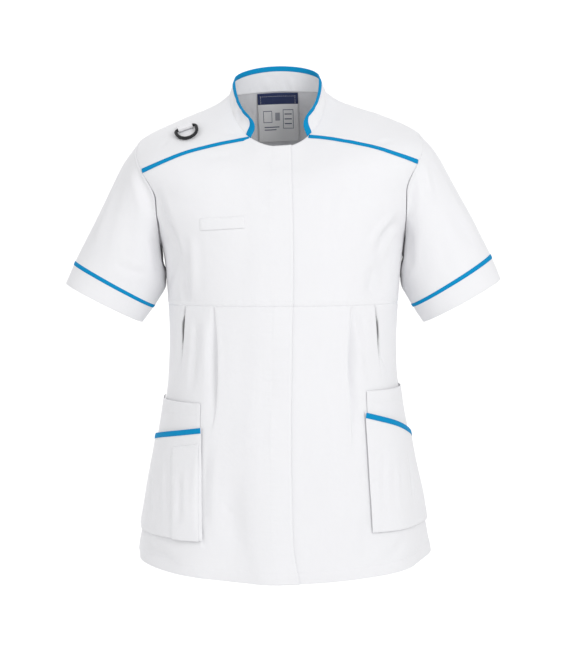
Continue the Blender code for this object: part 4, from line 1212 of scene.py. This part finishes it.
def strip(node, points, normals, width, on):
    """A flat tape along a route over the cloth."""
    tangent = unit(np.gradient(points, axis=0))
    across = unit(np.cross(normals, tangent))
    steps = np.array(EDGES["tape"]["steps"])
    offsets = np.concatenate([-width / 2 + steps, [0.0], width / 2 - steps[::-1]])
    sink = edge_relief(width / 2 - np.abs(offsets), "tape")[0]
    middles = points + across * offsets[:, None, None]
    outer = middles + normals * (TAPE_LIFT + TAPE_FACE + sink)[:, None, None]
    inner = middles + normals * (TAPE_LIFT - TAPE_BED)
    u, v = measured(outer)
    uv = np.stack([u, v], axis=-1)
    piece = shell(f"{node}_cloth", outer, inner, uv, "blue_tape", puckers=relief(outer, {})[1])
    for r in (2, len(offsets) - 3):
        blue_rows.append(outer[r, 1:-1])
    declare(outer, on)
    return settle(piece, node, "blue_tape")


def route_over(path, side, out=None):
    """Points and normals over the creased cloth, always from the wearer's right to the left."""
    angle, level = side * path[:, 0], path[:, 1]
    point, normal = body_surface(angle, level)
    if out is not None:
        point = point + normal * out(angle, level)[:, None]
    return (point, normal) if side > 0 else (point[::-1], normal[::-1])


def make_yoke_tape(side, label):
    path = sampled(yoke_seam(), np.linspace(0.012, 0.988, 70))
    points, normals = route_over(path, side)
    under = [f"yoke_{label}", f"front_{label}_bodice"]
    return strip(f"yoke_tape_{label}", points, normals, YOKE_TAPE_WIDTH, under)


def pocket_heights(sizes):
    """Heights of the two layers of a hip pocket over the body."""

    def gaping(mouth):
        def height(angle, level):
            near_mouth = smoothstep(1 - (mouth - level) / 0.07)
            return sizes["gape"] * near_mouth * smoothstep((np.abs(angle) - 0.75) / 0.35)

        return height

    inner_gape, outer_gape = gaping(sizes["z_top"]), gaping(sizes["z_mouth_side"])

    def inner(angle, level):
        return POCKET_STEP + inner_gape(angle, level)

    def outer(angle, level):
        return 2 * POCKET_STEP + inner_gape(angle, level) + outer_gape(angle, level)

    return inner, outer


def make_pocket(side, label, spacing):
    """Both layers of a hip pocket and the tape on its mouth."""
    sizes = next(row for row in POCKETS if row["side"] == side)
    inner_out, outer_out = pocket_heights(sizes)
    back = POCKET_BACK_ANGLE
    low_back = (back, sizes["z_bottom_side"])
    walls = bpy.context.scene.tunic_sizes.cloth_wall
    layers = (
        ("pocket_inner", sizes["z_top"], sizes["z_top"], inner_out, "mouth"),
        ("pocket_outer", sizes["z_mouth_edge"], sizes["z_mouth_side"], outer_out, "bare"),
    )
    for name, edge_z, side_z, out, mouth in layers:
        shift = POCKET_FRONT_SHIFT if name == "pocket_outer" else 0.0
        low_front = place(sizes["x_edge_bottom"] - shift, sizes["z_bottom_edge"])
        high_front = place(sizes["x_edge_top"] - shift, edge_z)
        high_back = (back, side_z)
        kinds = {"left": "patch", "right": "seam", "bottom": "patch", "top": mouth}
        grid = four_cornered(low_front, low_back, high_front, high_back, spacing, kinds)
        under = f"front_{label}_skirt" if name == "pocket_inner" else f"pocket_inner_{label}"
        panel(f"{name}_{label}", grid, side, kinds, out, walls, [under])
    path = straight(high_front, high_back, 80) - np.array([0, POCKET_TAPE_WIDTH / 2 + POCKET_TAPE_INSET])
    points, normals = route_over(path, side, outer_out)
    return strip(f"pocket_tape_{label}", points, normals, POCKET_TAPE_WIDTH, [f"pocket_outer_{label}"])


def make_pen_pocket(spacing):
    under = pocket_heights(POCKETS[0])[1]
    kinds = {"left": "patch", "right": "patch", "bottom": "patch", "top": "patch"}

    def out(angle, level):
        return under(angle, level) + POCKET_STEP * PEN_LIFT

    grid = four_cornered(*(place(*corner) for corner in PEN_CORNERS), spacing, kinds)
    return panel("pen_pocket", grid, -1, kinds, out, PEN_WALL, ["pocket_outer_right"])


def make_badge_strip(spacing):
    kinds = {"left": "patch", "right": "patch", "bottom": "bare", "top": "patch"}

    def out(angle, level):
        return np.full(angle.shape, BADGE_LIFT)

    grid = four_cornered(*(place(*corner) for corner in BADGE_CORNERS), spacing, kinds)
    return panel("badge_tab", grid, -1, kinds, out, BADGE_WALL, ["front_right_bodice"])


def ring_seat():
    """Place and directions of the D-ring: middle of its bar, along the bar, down over the yoke, out."""
    angle, level = place(RING_X, RING_Z)
    angle = -angle
    point, normal = framed(body_form, np.array(angle), np.array(level))
    tip = body_form(-math.pi / 2, SHOULDER_TIP) - body_form(-math.pi / 2, NECK_LEVEL)
    along = unit(tip - normal * (tip @ normal))
    down = unit(np.cross(normal, along))
    if down[1] > 0:
        down = -down
    centre = point + normal * (TAPE_LIFT + TAB_WALL + TAB_CLEAR + RING_ROD)
    return angle, level, centre, along, down, normal


def walked(angle, level, direction, distance):
    """Angle and level after a walk over the cloth in a direction."""
    steps = max(1, round(abs(distance) / 0.002))
    for _ in range(steps):
        spot = np.array([angle, level])
        round_way = (body_form(angle + 0.004, level) - body_form(angle - 0.004, level)) / 0.008
        up_way = (body_form(angle, level + 0.0006) - body_form(angle, level - 0.0006)) / 0.0012
        normal = unit(np.cross(round_way, up_way))
        move = unit(direction - normal * (direction @ normal)) * (distance / steps)
        ways = np.stack([round_way, up_way], axis=-1)
        angle, level = spot + np.linalg.lstsq(ways, move, rcond=None)[0]
    return angle, level


def make_ring_tab():
    """A strip folded round the bar: under layer on the yoke, over the bar and back on top."""
    angle, level, centre, along, down, normal = ring_seat()
    bend = RING_ROD + TAB_CLEAR
    count = 10
    spots = np.array([walked(angle, level, -down, TAB_LENGTH * k / count) for k in range(1, count + 1)])
    points, normals = framed(body_form, spots[:, 0], spots[:, 1])
    low = TAPE_LIFT + TAB_WALL + TAB_CLEAR
    high = TAPE_LIFT + TAB_WALL + bend * 2
    outer, inner = [], []
    for point, spot_normal in zip(points[::-1], normals[::-1]):
        outer.append(point + spot_normal * TAPE_LIFT)
        inner.append(point + spot_normal * (TAPE_LIFT + TAB_WALL))
    for turn in np.linspace(0, math.pi, 15):
        ray = down * math.sin(turn) - normal * math.cos(turn)
        outer.append(centre + ray * (bend + TAB_WALL))
        inner.append(centre + ray * bend)
    for k, (point, spot_normal) in enumerate(zip(points, normals), start=1):
        top = high + (low - high) * float(smoothstep(k / count * 1.15))
        outer.append(point + spot_normal * (top + TAB_WALL))
        inner.append(point + spot_normal * top)
    shares = np.concatenate([[-0.5, -0.47, -0.42], np.linspace(-0.36, 0.36, 9), [0.42, 0.47, 0.5]])
    shifts = along * (TAB_WIDTH * shares)[:, None]
    outer, inner = (np.array(skin)[:, None] + shifts for skin in (outer, inner))
    u, v = measured(outer)
    uv = np.stack([u, v], axis=-1)
    white_rows.append(outer[-3, 1:-1])
    white_rows.append(outer[-7, 1:-1])
    piece = shell("ring_tab_cloth", outer, inner, uv, "white_cloth")
    declare(outer, ["yoke_right", "shoulder_ring"])
    return settle(piece, "ring_tab", "white_cloth")


def make_shoulder_ring():
    """The moulded D-ring: a straight bar in the tab and a round bow."""
    _, _, centre, along, down, normal = ring_seat()
    half = RING_WIDTH / 2
    quarter = np.radians(np.linspace(0, 90, 10))[1:]
    right = [
        (half - RING_CORNER + RING_CORNER * math.sin(t), RING_CORNER - RING_CORNER * math.cos(t))
        for t in quarter
    ]
    turn = np.linspace(0, math.pi, 60)
    reach = RING_DEPTH - RING_CORNER
    bow = [(half * math.cos(t), RING_CORNER + reach * math.sin(t) ** 0.9) for t in turn][1:-1]
    left = [(-x, y) for x, y in reversed(right)]
    bar = [(x, 0.0) for x in np.linspace(-half + RING_CORNER, half - RING_CORNER, 9)]
    flat = np.array(bar + right + bow + left)
    gone = np.linalg.norm(np.diff(flat, axis=0, append=flat[:1]), axis=1)
    flat = flat[gone > 1e-5]
    across = np.cross(normal, along)
    way = -1 if across @ down < 0 else 1
    x_way, y_way = along * way, across * way
    y_tilted = y_way * math.cos(RING_TILT) - normal * math.sin(RING_TILT)
    z_tilted = np.cross(x_way, y_tilted)
    path = centre + flat[:, :1] * x_way + flat[:, 1:] * y_tilted
    tangent = unit(np.roll(path, -1, axis=0) - np.roll(path, 1, axis=0))
    side_way = unit(np.cross(tangent, z_tilted))
    rows = []
    for turn in np.linspace(0, 2 * math.pi, 20, endpoint=False):
        rows.append(path + (side_way * math.cos(turn) + z_tilted * math.sin(turn)) * RING_ROD)
    rows = np.array(rows)
    count, around = rows.shape[:2]
    index = np.arange(count * around).reshape(count, around)
    beside = np.roll(index, -1, 1)
    faces = np.stack([index, beside, np.roll(beside, -1, 0), np.roll(index, -1, 0)], -1).reshape(-1, 4)
    points = rows.reshape(-1, 3)
    mesh = bpy.data.meshes.new("shoulder_ring_moulded")
    mesh.from_pydata(points.tolist(), [], faces.tolist())
    mesh.shade_smooth()
    first, second, third = (points[faces[:, k]] for k in range(3))
    if (first * np.cross(second, third)).sum() < 0:
        mesh.flip_normals()
    piece = bpy.data.objects.new("shoulder_ring_moulded", mesh)
    bpy.context.scene.collection.objects.link(piece)
    mesh.materials.append(plastic_finish())
    return settle(piece, "shoulder_ring", "black_plastic", "ring")


def make_neck_label():
    """Hangs inside the back, from the neck seam down."""
    levels = np.linspace(LABEL_BOTTOM, LABEL_TOP, 36)
    reach = np.arcsin(LABEL_WIDTH / 2 / ring(levels)["back"])
    shares = np.linspace(0, 1, 30)
    angle = math.pi - reach[:, None] + 2 * reach[:, None] * shares
    level = np.broadcast_to(levels[:, None], angle.shape)
    point, normal = framed(body_form, angle, level)
    fall = 1 - (levels[:, None] - LABEL_BOTTOM) / (LABEL_TOP - LABEL_BOTTOM)
    curl = LABEL_CURL * smoothstep(fall * 1.2) + LABEL_RIPPLE * np.sin(shares * 9 + 0.8) * fall
    outer = point - normal * (LABEL_LIFT + curl)[..., None]
    inner = outer - normal * LABEL_WALL
    uv = np.stack(np.broadcast_arrays(1 - shares, 1 - fall), axis=-1)
    piece = shell("neck_label_cloth", outer, inner, uv, "label_cloth")
    for r in (1, -3):
        white_rows.append(inner[r, 2:-2])
    for c in (2, -3):
        white_rows.append(inner[2:-2, c])
    declare(outer, ["back"])
    return settle(piece, "neck_label", "label_cloth")


def stitch_tree(name, finish):
    """Geometry nodes that lay thread stitches along curves."""
    tree = bpy.data.node_groups.new(name, "GeometryNodeTree")
    tree.interface.new_socket("Rows", in_out="INPUT", socket_type="NodeSocketGeometry")
    for label in ("Pitch", "Length", "Radius"):
        tree.interface.new_socket(label, in_out="INPUT", socket_type="NodeSocketFloat")
    tree.interface.new_socket("Stitches", in_out="OUTPUT", socket_type="NodeSocketGeometry")
    nodes, links = tree.nodes, tree.links
    given = nodes.new("NodeGroupInput")
    result = nodes.new("NodeGroupOutput")
    spots = nodes.new("GeometryNodeCurveToPoints")
    spots.mode = "LENGTH"
    links.new(given.outputs["Rows"], spots.inputs["Curve"])
    links.new(given.outputs["Pitch"], spots.inputs["Length"])
    thread = nodes.new("GeometryNodeMeshUVSphere")
    thread.inputs["Segments"].default_value = 6
    thread.inputs["Rings"].default_value = 4
    thread.inputs["Radius"].default_value = 1.0
    halved = nodes.new("ShaderNodeMath")
    halved.operation = "MULTIPLY"
    halved.inputs[1].default_value = 0.5
    links.new(given.outputs["Length"], halved.inputs[0])
    size = nodes.new("ShaderNodeCombineXYZ")
    links.new(given.outputs["Radius"], size.inputs["X"])
    links.new(given.outputs["Radius"], size.inputs["Y"])
    links.new(halved.outputs[0], size.inputs["Z"])
    turned = nodes.new("FunctionNodeAlignRotationToVector")
    turned.axis = "Z"
    links.new(spots.outputs["Tangent"], turned.inputs["Vector"])
    placed = nodes.new("GeometryNodeInstanceOnPoints")
    links.new(spots.outputs["Points"], placed.inputs["Points"])
    links.new(thread.outputs["Mesh"], placed.inputs["Instance"])
    links.new(turned.outputs["Rotation"], placed.inputs["Rotation"])
    links.new(size.outputs["Vector"], placed.inputs["Scale"])
    real = nodes.new("GeometryNodeRealizeInstances")
    links.new(placed.outputs["Instances"], real.inputs["Geometry"])
    painted = nodes.new("GeometryNodeSetMaterial")
    painted.inputs["Material"].default_value = finish
    links.new(real.outputs["Geometry"], painted.inputs["Geometry"])
    links.new(painted.outputs["Geometry"], result.inputs["Stitches"])
    return tree


def sew(name, rows, finish):
    """Turns the kept lines into stitches and makes one plain mesh of them."""
    curve = bpy.data.curves.new(name, "CURVE")
    curve.dimensions = "3D"
    for row in rows:
        spline = curve.splines.new("POLY")
        spline.points.add(len(row) - 1)
        spline.points.foreach_set("co", np.column_stack([row, np.ones(len(row))]).astype(np.float32).ravel())
    holder = bpy.data.objects.new(name + "_rows", curve)
    bpy.context.scene.collection.objects.link(holder)
    modifier = holder.modifiers.new("stitches", "NODES")
    modifier.node_group = stitch_tree(name, finish)
    sizes = bpy.context.scene.tunic_sizes
    wanted = {"Pitch": sizes.stitch_pitch, "Length": sizes.stitch_length, "Radius": sizes.stitch_radius}
    for item in modifier.node_group.interface.items_tree:
        if item.in_out == "INPUT" and item.name in wanted:
            modifier[item.identifier] = wanted[item.name]
    graph = bpy.context.evaluated_depsgraph_get()
    mesh = bpy.data.meshes.new_from_object(holder.evaluated_get(graph))
    bpy.data.objects.remove(holder)
    mesh.shade_smooth()
    piece = bpy.data.objects.new(name, mesh)
    bpy.context.scene.collection.objects.link(piece)
    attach(piece, "garment")
    return piece


def shaded(colour, share):
    """A colour at a share of its brightness."""
    return [value * share for value in colour[:3]] + [1.0]


class Socket:
    """A shader value in an expression: its operators add Math nodes to the tree."""

    def __init__(self, paint, link):
        self.paint = paint
        self.link = link

    def maths(self, operation, *values):
        return self.paint.add("ShaderNodeMath", {"operation": operation}, dict(enumerate((self, *values))))

    def __add__(self, other):
        return self.maths("ADD", other)

    def __radd__(self, other):
        return self.maths("ADD", other)

    def __sub__(self, other):
        return self.maths("SUBTRACT", other)

    def __rsub__(self, other):
        return self.paint.add("ShaderNodeMath", {"operation": "SUBTRACT"}, {0: other, 1: self})

    def __mul__(self, other):
        return self.maths("MULTIPLY", other)

    def __rmul__(self, other):
        return self.maths("MULTIPLY", other)

    def __gt__(self, other):
        return self.maths("GREATER_THAN", other)

    def __lt__(self, other):
        return self.maths("LESS_THAN", other)

    def sine(self):
        return self.maths("SINE")

    def size(self):
        return self.maths("ABSOLUTE")

    def power(self, other):
        return self.maths("POWER", other)

    def larger(self, other):
        return self.maths("MAXIMUM", other)


class Paint:
    """A material whose nodes are added in expressions."""

    def __init__(self, name):
        self.material = bpy.data.materials.new(name)
        self.material.use_nodes = True
        self.tree = self.material.node_tree
        self.shader = self.tree.nodes["Principled BSDF"]

    def add(self, kind, settings=None, values=None, output=0):
        """Adds a node, with its settings first and then the values or links of its sockets."""
        node = self.tree.nodes.new(kind)
        for name, value in (settings or {}).items():
            if name == "stops":
                for element, (position, colour) in zip(node.color_ramp.elements, value):
                    element.position = position
                    element.color = colour
            else:
                setattr(node, name, value)
        for name, value in (values or {}).items():
            self.set(node.inputs[name], value)
        return Socket(self, node.outputs[output])

    def set(self, socket, value):
        if isinstance(value, Socket):
            self.tree.links.new(value.link, socket)
        else:
            socket.default_value = value

    def finish(self, values):
        for name, value in values.items():
            self.set(self.shader.inputs[name], value)
        return self.material

    def uv(self):
        """The cloth's own coordinates, in metres along and across its thread."""
        map_node = self.add("ShaderNodeUVMap", {"uv_map": "cloth"})
        parts = self.tree.nodes.new("ShaderNodeSeparateXYZ")
        self.tree.links.new(map_node.link, parts.inputs[0])
        return map_node, Socket(self, parts.outputs["X"]), Socket(self, parts.outputs["Y"])

    def noise(self, vector, scale, detail=2.0):
        return self.add("ShaderNodeTexNoise", {}, {"Vector": vector, "Scale": scale, "Detail": detail})

    def stretched(self, vector, scale):
        return self.add("ShaderNodeMapping", {}, {"Vector": vector, "Scale": scale})

    def bump(self, height, strength, distance):
        values = {"Height": height, "Strength": strength, "Distance": distance}
        return self.add("ShaderNodeBump", {}, values)

    def mixed(self, share, first, second):
        values = {"Factor": share, 6: first, 7: second}
        return self.add("ShaderNodeMix", {"data_type": "RGBA"}, values, output=2)


def cloth_finish(slot):
    """The woven finish of a slot, made once."""
    found = bpy.data.materials.get(slot + "_woven")
    if found:
        return found
    makers = {"white_cloth": white_finish, "blue_tape": tape_finish, "label_cloth": label_finish}
    return makers[slot](slot + "_woven")


def weave_height(paint, along, across, pitch):
    """A fine twill: threads both ways, floating over each other on a slant."""
    turn = 2 * math.pi / pitch
    warp = (along * turn).sine() * 0.5 + 0.5
    weft = (across * turn).sine() * 0.5 + 0.5
    slant = ((along + across) * (turn / 3)).sine() * 0.5 + 0.5
    return warp * slant + weft * (1 - slant)


def woven(paint, colour, tone_and_shade_colour, pucker_height, roughness, sheen, gloss):
    """Weave, sewing puckers, faint rumples, slow random tone and painted shade in the weave's valleys and inside shut
    pleats, shared by the white cloth and the tapes.
    """
    vector, along, across = paint.uv()
    position = paint.add("ShaderNodeTexCoord", output=3)
    weave = weave_height(paint, along, across, bpy.context.scene.tunic_sizes.weave_pitch)
    by_u = paint.add("ShaderNodeAttribute", {"attribute_name": "pucker_u"}, output=2)
    by_v = paint.add("ShaderNodeAttribute", {"attribute_name": "pucker_v"}, output=2)
    ripple_u = paint.noise(paint.stretched(vector, (95, 14, 1)), 1.0)
    ripple_v = paint.noise(paint.stretched(vector, (14, 95, 1)), 1.0)
    puckers = by_u * ripple_u + by_v * ripple_v
    rumple = paint.noise(position, 38.0, 4.0)
    slubs = paint.noise(paint.stretched(vector, (1400, 90, 1)), 1.0)
    height = puckers * pucker_height + rumple * 0.0009 + weave * 0.00006 + slubs * 0.00003
    slow = paint.noise(position, 9.0, 3.0)
    # The slow noise and slubs are random tone; the weave term is painted shade, darker in the valleys between threads
    shade = (slow - 0.5) * 0.10 + (weave - 0.5) * 0.10 + (slubs - 0.5) * 0.08 + 0.5
    # Painted shade: pucker_fold darkens the colour inside the shut pleats in place of the slit's shadow
    inside = paint.add("ShaderNodeAttribute", {"attribute_name": "pucker_fold"}, output=2)
    cloth = paint.mixed(shade, tone_and_shade_colour, colour)
    return paint.finish(
        {
            "Base Color": paint.mixed(inside, cloth, shaded(colour, PLEAT_PAINTED_SHADE)),
            "Roughness": (weave - 0.5) * 0.08 + (slow - 0.5) * 0.1 + roughness,
            "Sheen Weight": sheen,
            "Sheen Roughness": 0.5,
            "Specular IOR Level": gloss,
            "Normal": paint.bump(height, 1.0, 1.0),
        }
    )


def white_finish(name):
    colour = list(bpy.context.scene.tunic_colours.cloth)
    # The second colour is the darker end of the random tone and of the painted shade in the weave's valleys
    return woven(Paint(name), colour, shaded(colour, 0.94), 0.0011, 0.82, bpy.context.scene.tunic_colours.sheen, 0.25)


def tape_finish(name):
    colour = list(bpy.context.scene.tunic_colours.tape)
    # The second colour is the darker end of the random tone and of the painted shade in the weave's valleys
    return woven(Paint(name), colour, shaded(colour, 0.72), 0.0003, 0.72, 0.0, 0.10)


def thread_finish(name, colour):
    """Twisted sewing thread."""
    paint = Paint(name)
    position = paint.add("ShaderNodeTexCoord", output=3)
    twist = paint.noise(position, 900.0, 2.0)
    return paint.finish(
        {
            "Base Color": paint.mixed(twist, shaded(colour, 0.8), list(colour)),
            "Roughness": 0.6 + (twist - 0.5) * 0.2,
            "Normal": paint.bump(twist, 0.5, 0.0001),
        }
    )


def plastic_finish():
    """Black moulded plastic with a faint grain and worn sheen."""
    paint = Paint("black_plastic_moulded")
    position = paint.add("ShaderNodeTexCoord", output=3)
    grain = paint.noise(position, 1500.0, 2.0)
    wear = paint.noise(position, 160.0, 4.0)
    colour = list(bpy.context.scene.tunic_colours.ring)
    return paint.finish(
        {
            "Base Color": paint.mixed(wear, colour, shaded(colour, 1.3)),
            "Roughness": 0.40 + wear * 0.16,
            "Specular IOR Level": 0.3,
            "Normal": paint.bump(grain, 0.25, 0.00004),
        }
    )


def label_finish(name):
    """A woven label: a plain dark band on top, and plain outlined boxes and bars below it."""
    paint = Paint(name)
    colours = bpy.context.scene.tunic_colours
    _, across, up = paint.uv()

    def box(low_x, low_y, high_x, high_y):
        return (across > low_x) * (across < high_x) * (up > low_y) * (up < high_y)

    def outline(low_x, low_y, high_x, high_y, line=0.012):
        inner = box(low_x + line, low_y + line, high_x - line, high_y - line)
        return box(low_x, low_y, high_x, high_y) * (1 - inner)

    print_marks = outline(0.12, 0.44, 0.34, 0.68)
    for shape in (
        outline(0.62, 0.30, 0.88, 0.70),
        box(0.66, 0.40, 0.84, 0.42),
        box(0.66, 0.50, 0.84, 0.52),
        box(0.66, 0.60, 0.84, 0.62),
        box(0.14, 0.33, 0.52, 0.35),
        box(0.14, 0.27, 0.44, 0.29),
        box(0.42, 0.48, 0.54, 0.64) * 0.6,
    ):
        print_marks = print_marks.larger(shape)
    weave = (across * 760).sine() * 0.5 + (up * 880).sine() * 0.5
    white, dark = list(colours.label), list(colours.label_band)
    ground = paint.mixed(print_marks, white, dark)
    band = up > LABEL_BAND
    return paint.finish(
        {
            "Base Color": paint.mixed(band, ground, dark),
            "Roughness": 0.5 + weave * 0.06,
            "Sheen Weight": 0.15,
            "Normal": paint.bump(weave, 0.3, 0.00005),
        }
    )


def plain_finish(name, colour, roughness):
    """A plain studio surface with a trace of unevenness."""
    paint = Paint(name)
    position = paint.add("ShaderNodeTexCoord", output=3)
    slow = paint.noise(position, 1.2, 2.0)
    mixed = paint.mixed(slow, shaded(colour, 0.985), list(colour))
    return paint.finish({"Base Color": mixed, "Roughness": roughness})


def size_property(name, description, default):
    return bpy.props.FloatProperty(name=name, description=description, default=default, unit="LENGTH")


def colour_property(name, description, default):
    return bpy.props.FloatVectorProperty(
        name=name, description=description, default=(*default, 1), size=4, subtype="COLOR"
    )


class TunicSizes(bpy.types.PropertyGroup):
    cloth_wall: size_property("Cloth", "Thickness of the cloth wall", 0.0010)
    tape_wall: size_property("Tape", "Thickness of the contrast tape", 0.0008)
    spacing: size_property("Mesh spacing", "Distance between points of the cloth", 0.0032)
    crease_strength: bpy.props.FloatProperty(
        name="Creases", description="Depth of all creases, as a share of the drawn ones", default=1.5
    )
    weave_pitch: size_property("Weave", "Distance between threads", 0.0009)
    stitch_pitch: size_property("Stitch pitch", "Distance from stitch to stitch", 0.0030)
    stitch_length: size_property("Stitch length", "Length of a stitch", 0.0023)
    stitch_radius: size_property("Thread radius", "Half the thickness of the thread", 0.00028)


class TunicColours(bpy.types.PropertyGroup):
    cloth: colour_property("Cloth", "Colour of the cloth", (0.83, 0.83, 0.85))
    tape: colour_property("Tape", "Colour of the edging", (0.002, 0.300, 0.620))
    ring: colour_property("Ring", "Colour of the D-ring", (0.010, 0.010, 0.012))
    label: colour_property("Label", "Colour of the label", (0.80, 0.80, 0.80))
    label_band: colour_property("Label band", "Colour of the label's band", (0.008, 0.02, 0.09))
    floor: colour_property("Floor", "Colour of the studio floor", (0.90, 0.90, 0.90))
    sheen: bpy.props.FloatProperty(
        name="Sheen", description="Fuzz of the cloth", default=0.12, subtype="FACTOR"
    )


class TUNIC_OT_fronts(bpy.types.Operator):
    """Makes the two upper fronts, lower fronts and yokes"""

    bl_idname = "tunic.fronts"
    bl_label = "Fronts and yokes"

    def execute(self, context):
        spacing = context.scene.tunic_sizes.spacing
        for side, label in ((-1, "right"), (1, "left")):
            make_bodice(side, label, spacing)
            make_skirt(side, label, spacing)
            make_yoke(side, label, spacing)
        return {"FINISHED"}


class TUNIC_OT_back(bpy.types.Operator):
    """Makes the back"""

    bl_idname = "tunic.back"
    bl_label = "Back"

    def execute(self, context):
        make_back(context.scene.tunic_sizes.spacing)
        return {"FINISHED"}


class TUNIC_OT_sleeves(bpy.types.Operator):
    """Makes both sleeves with their cuffs and tapes"""

    bl_idname = "tunic.sleeves"
    bl_label = "Sleeves"

    def execute(self, context):
        for side, label in ((-1, "right"), (1, "left")):
            make_sleeve(side, label, context.scene.tunic_sizes.spacing)
        return {"FINISHED"}


class TUNIC_OT_collar(bpy.types.Operator):
    """Makes the stand collar and its binding"""

    bl_idname = "tunic.collar"
    bl_label = "Collar"

    def execute(self, context):
        make_collar(context.scene.tunic_sizes.spacing)
        return {"FINISHED"}


class TUNIC_OT_pockets(bpy.types.Operator):
    """Makes the hip pockets, the pen pocket and the badge strip"""

    bl_idname = "tunic.pockets"
    bl_label = "Pockets"

    def execute(self, context):
        spacing = context.scene.tunic_sizes.spacing
        for side, label in ((-1, "right"), (1, "left")):
            make_pocket(side, label, spacing)
        make_pen_pocket(spacing)
        make_badge_strip(spacing)
        return {"FINISHED"}


class TUNIC_OT_trim(bpy.types.Operator):
    """Makes the yoke tapes, the ring's tab and the neck label"""

    bl_idname = "tunic.trim"
    bl_label = "Trim"

    def execute(self, context):
        for side, label in ((-1, "right"), (1, "left")):
            make_yoke_tape(side, label)
        make_ring_tab()
        make_neck_label()
        return {"FINISHED"}


class TUNIC_OT_ring(bpy.types.Operator):
    """Makes the moulded D-ring"""

    bl_idname = "tunic.ring"
    bl_label = "D-ring"

    def execute(self, context):
        make_shoulder_ring()
        return {"FINISHED"}


class TUNIC_OT_sewing(bpy.types.Operator):
    """Makes the stitches along every kept line"""

    bl_idname = "tunic.sewing"
    bl_label = "Sewing"

    def execute(self, context):
        colours = context.scene.tunic_colours
        white = thread_finish("white_thread", list(colours.cloth))
        blue = thread_finish("blue_thread", shaded(colours.tape, 0.85))
        sew("white_stitches", white_rows, white)
        sew("blue_stitches", blue_rows, blue)
        return {"FINISHED"}


class TUNIC_OT_stage(bpy.types.Operator):
    """Makes the pale studio floor, the soft lights and the camera"""

    bl_idname = "tunic.stage"
    bl_label = "Studio"

    def execute(self, context):
        make_stage(context)
        return {"FINISHED"}


def make_stage(context):
    scene = context.scene
    profile = [(FLOOR_FRONT, FLOOR_Z), (FLOOR_BACK, FLOOR_Z)]
    for k in range(1, 25):
        turn = math.radians(90 * k / 24)
        rise = FLOOR_Z + WALL_CURVE - WALL_CURVE * math.cos(turn)
        profile.append((FLOOR_BACK + WALL_CURVE * math.sin(turn), rise))
    profile.append((FLOOR_BACK + WALL_CURVE, WALL_TOP))
    verts = [(x, y, z) for y, z in profile for x in (-STAGE_HALF_WIDTH, STAGE_HALF_WIDTH)]
    faces = [(2 * k, 2 * k + 1, 2 * k + 3, 2 * k + 2) for k in range(len(profile) - 1)]
    mesh = bpy.data.meshes.new("studio_floor")
    mesh.from_pydata(verts, [], faces)
    mesh.shade_smooth()
    floor = bpy.data.objects.new("studio_floor", mesh)
    scene.collection.objects.link(floor)
    mesh.materials.append(plain_finish("studio_paper", list(scene.tunic_colours.floor), 0.9))

    world = bpy.data.worlds.new("studio_world")
    scene.world = world
    world.use_nodes = True
    background = world.node_tree.nodes["Background"]
    background.inputs["Color"].default_value = (1, 1, 1, 1)
    background.inputs["Strength"].default_value = WORLD_STRENGTH
    for row in LIGHTS:
        data = bpy.data.lights.new("studio_" + row["name"], "AREA")
        data.size = row["size"]
        data.energy = row["power"]
        light = bpy.data.objects.new("studio_" + row["name"], data)
        light.location = row["spot"]
        light.rotation_euler = (Vector(row["aim"]) - Vector(row["spot"])).to_track_quat("-Z", "Y").to_euler()
        scene.collection.objects.link(light)

    data = bpy.data.cameras.new("studio_camera")
    data.sensor_fit = "HORIZONTAL"
    data.sensor_width = 36.0
    data.lens = 36.0 * VIEW_DISTANCE / (VIEW_PIXELS * VIEW_SCALE)
    data.shift_x = 1 / VIEW_PIXELS
    data.clip_end = 40.0
    camera = bpy.data.objects.new("studio_camera", data)
    back = Vector((0, -math.cos(VIEW_ELEVATION), math.sin(VIEW_ELEVATION))) * VIEW_DISTANCE
    camera.location = Vector(VIEW_CENTRE) + back
    camera.rotation_euler = (-back).to_track_quat("-Z", "Y").to_euler()
    scene.collection.objects.link(camera)
    scene.camera = camera
    scene.view_settings.view_transform = "Standard"


class TUNIC_PT_panel(bpy.types.Panel):
    """Lists the tunic's sizes, colours and steps"""

    bl_idname = "TUNIC_PT_panel"
    bl_label = "Maternity tunic"
    bl_space_type = "VIEW_3D"
    bl_region_type = "UI"
    bl_category = "Tunic"

    def draw(self, context):
        for group in (context.scene.tunic_sizes, context.scene.tunic_colours):
            for name in group.__annotations__:
                self.layout.prop(group, name)
        for step in STEPS:
            self.layout.operator(step.bl_idname)


STEPS = (
    TUNIC_OT_fronts,
    TUNIC_OT_back,
    TUNIC_OT_sleeves,
    TUNIC_OT_collar,
    TUNIC_OT_pockets,
    TUNIC_OT_trim,
    TUNIC_OT_ring,
    TUNIC_OT_sewing,
    TUNIC_OT_stage,
)
CLASSES = (TunicSizes, TunicColours, *STEPS, TUNIC_PT_panel)


def register():
    for each in CLASSES:
        bpy.utils.register_class(each)
    bpy.types.Scene.tunic_sizes = bpy.props.PointerProperty(type=TunicSizes)
    bpy.types.Scene.tunic_colours = bpy.props.PointerProperty(type=TunicColours)


def unregister():
    del bpy.types.Scene.tunic_sizes
    del bpy.types.Scene.tunic_colours
    for each in reversed(CLASSES):
        bpy.utils.unregister_class(each)


def main():
    register()
    for step in STEPS:
        getattr(bpy.ops.tunic, step.bl_idname.split(".")[1])()


if __name__ == "__main__":
    main()
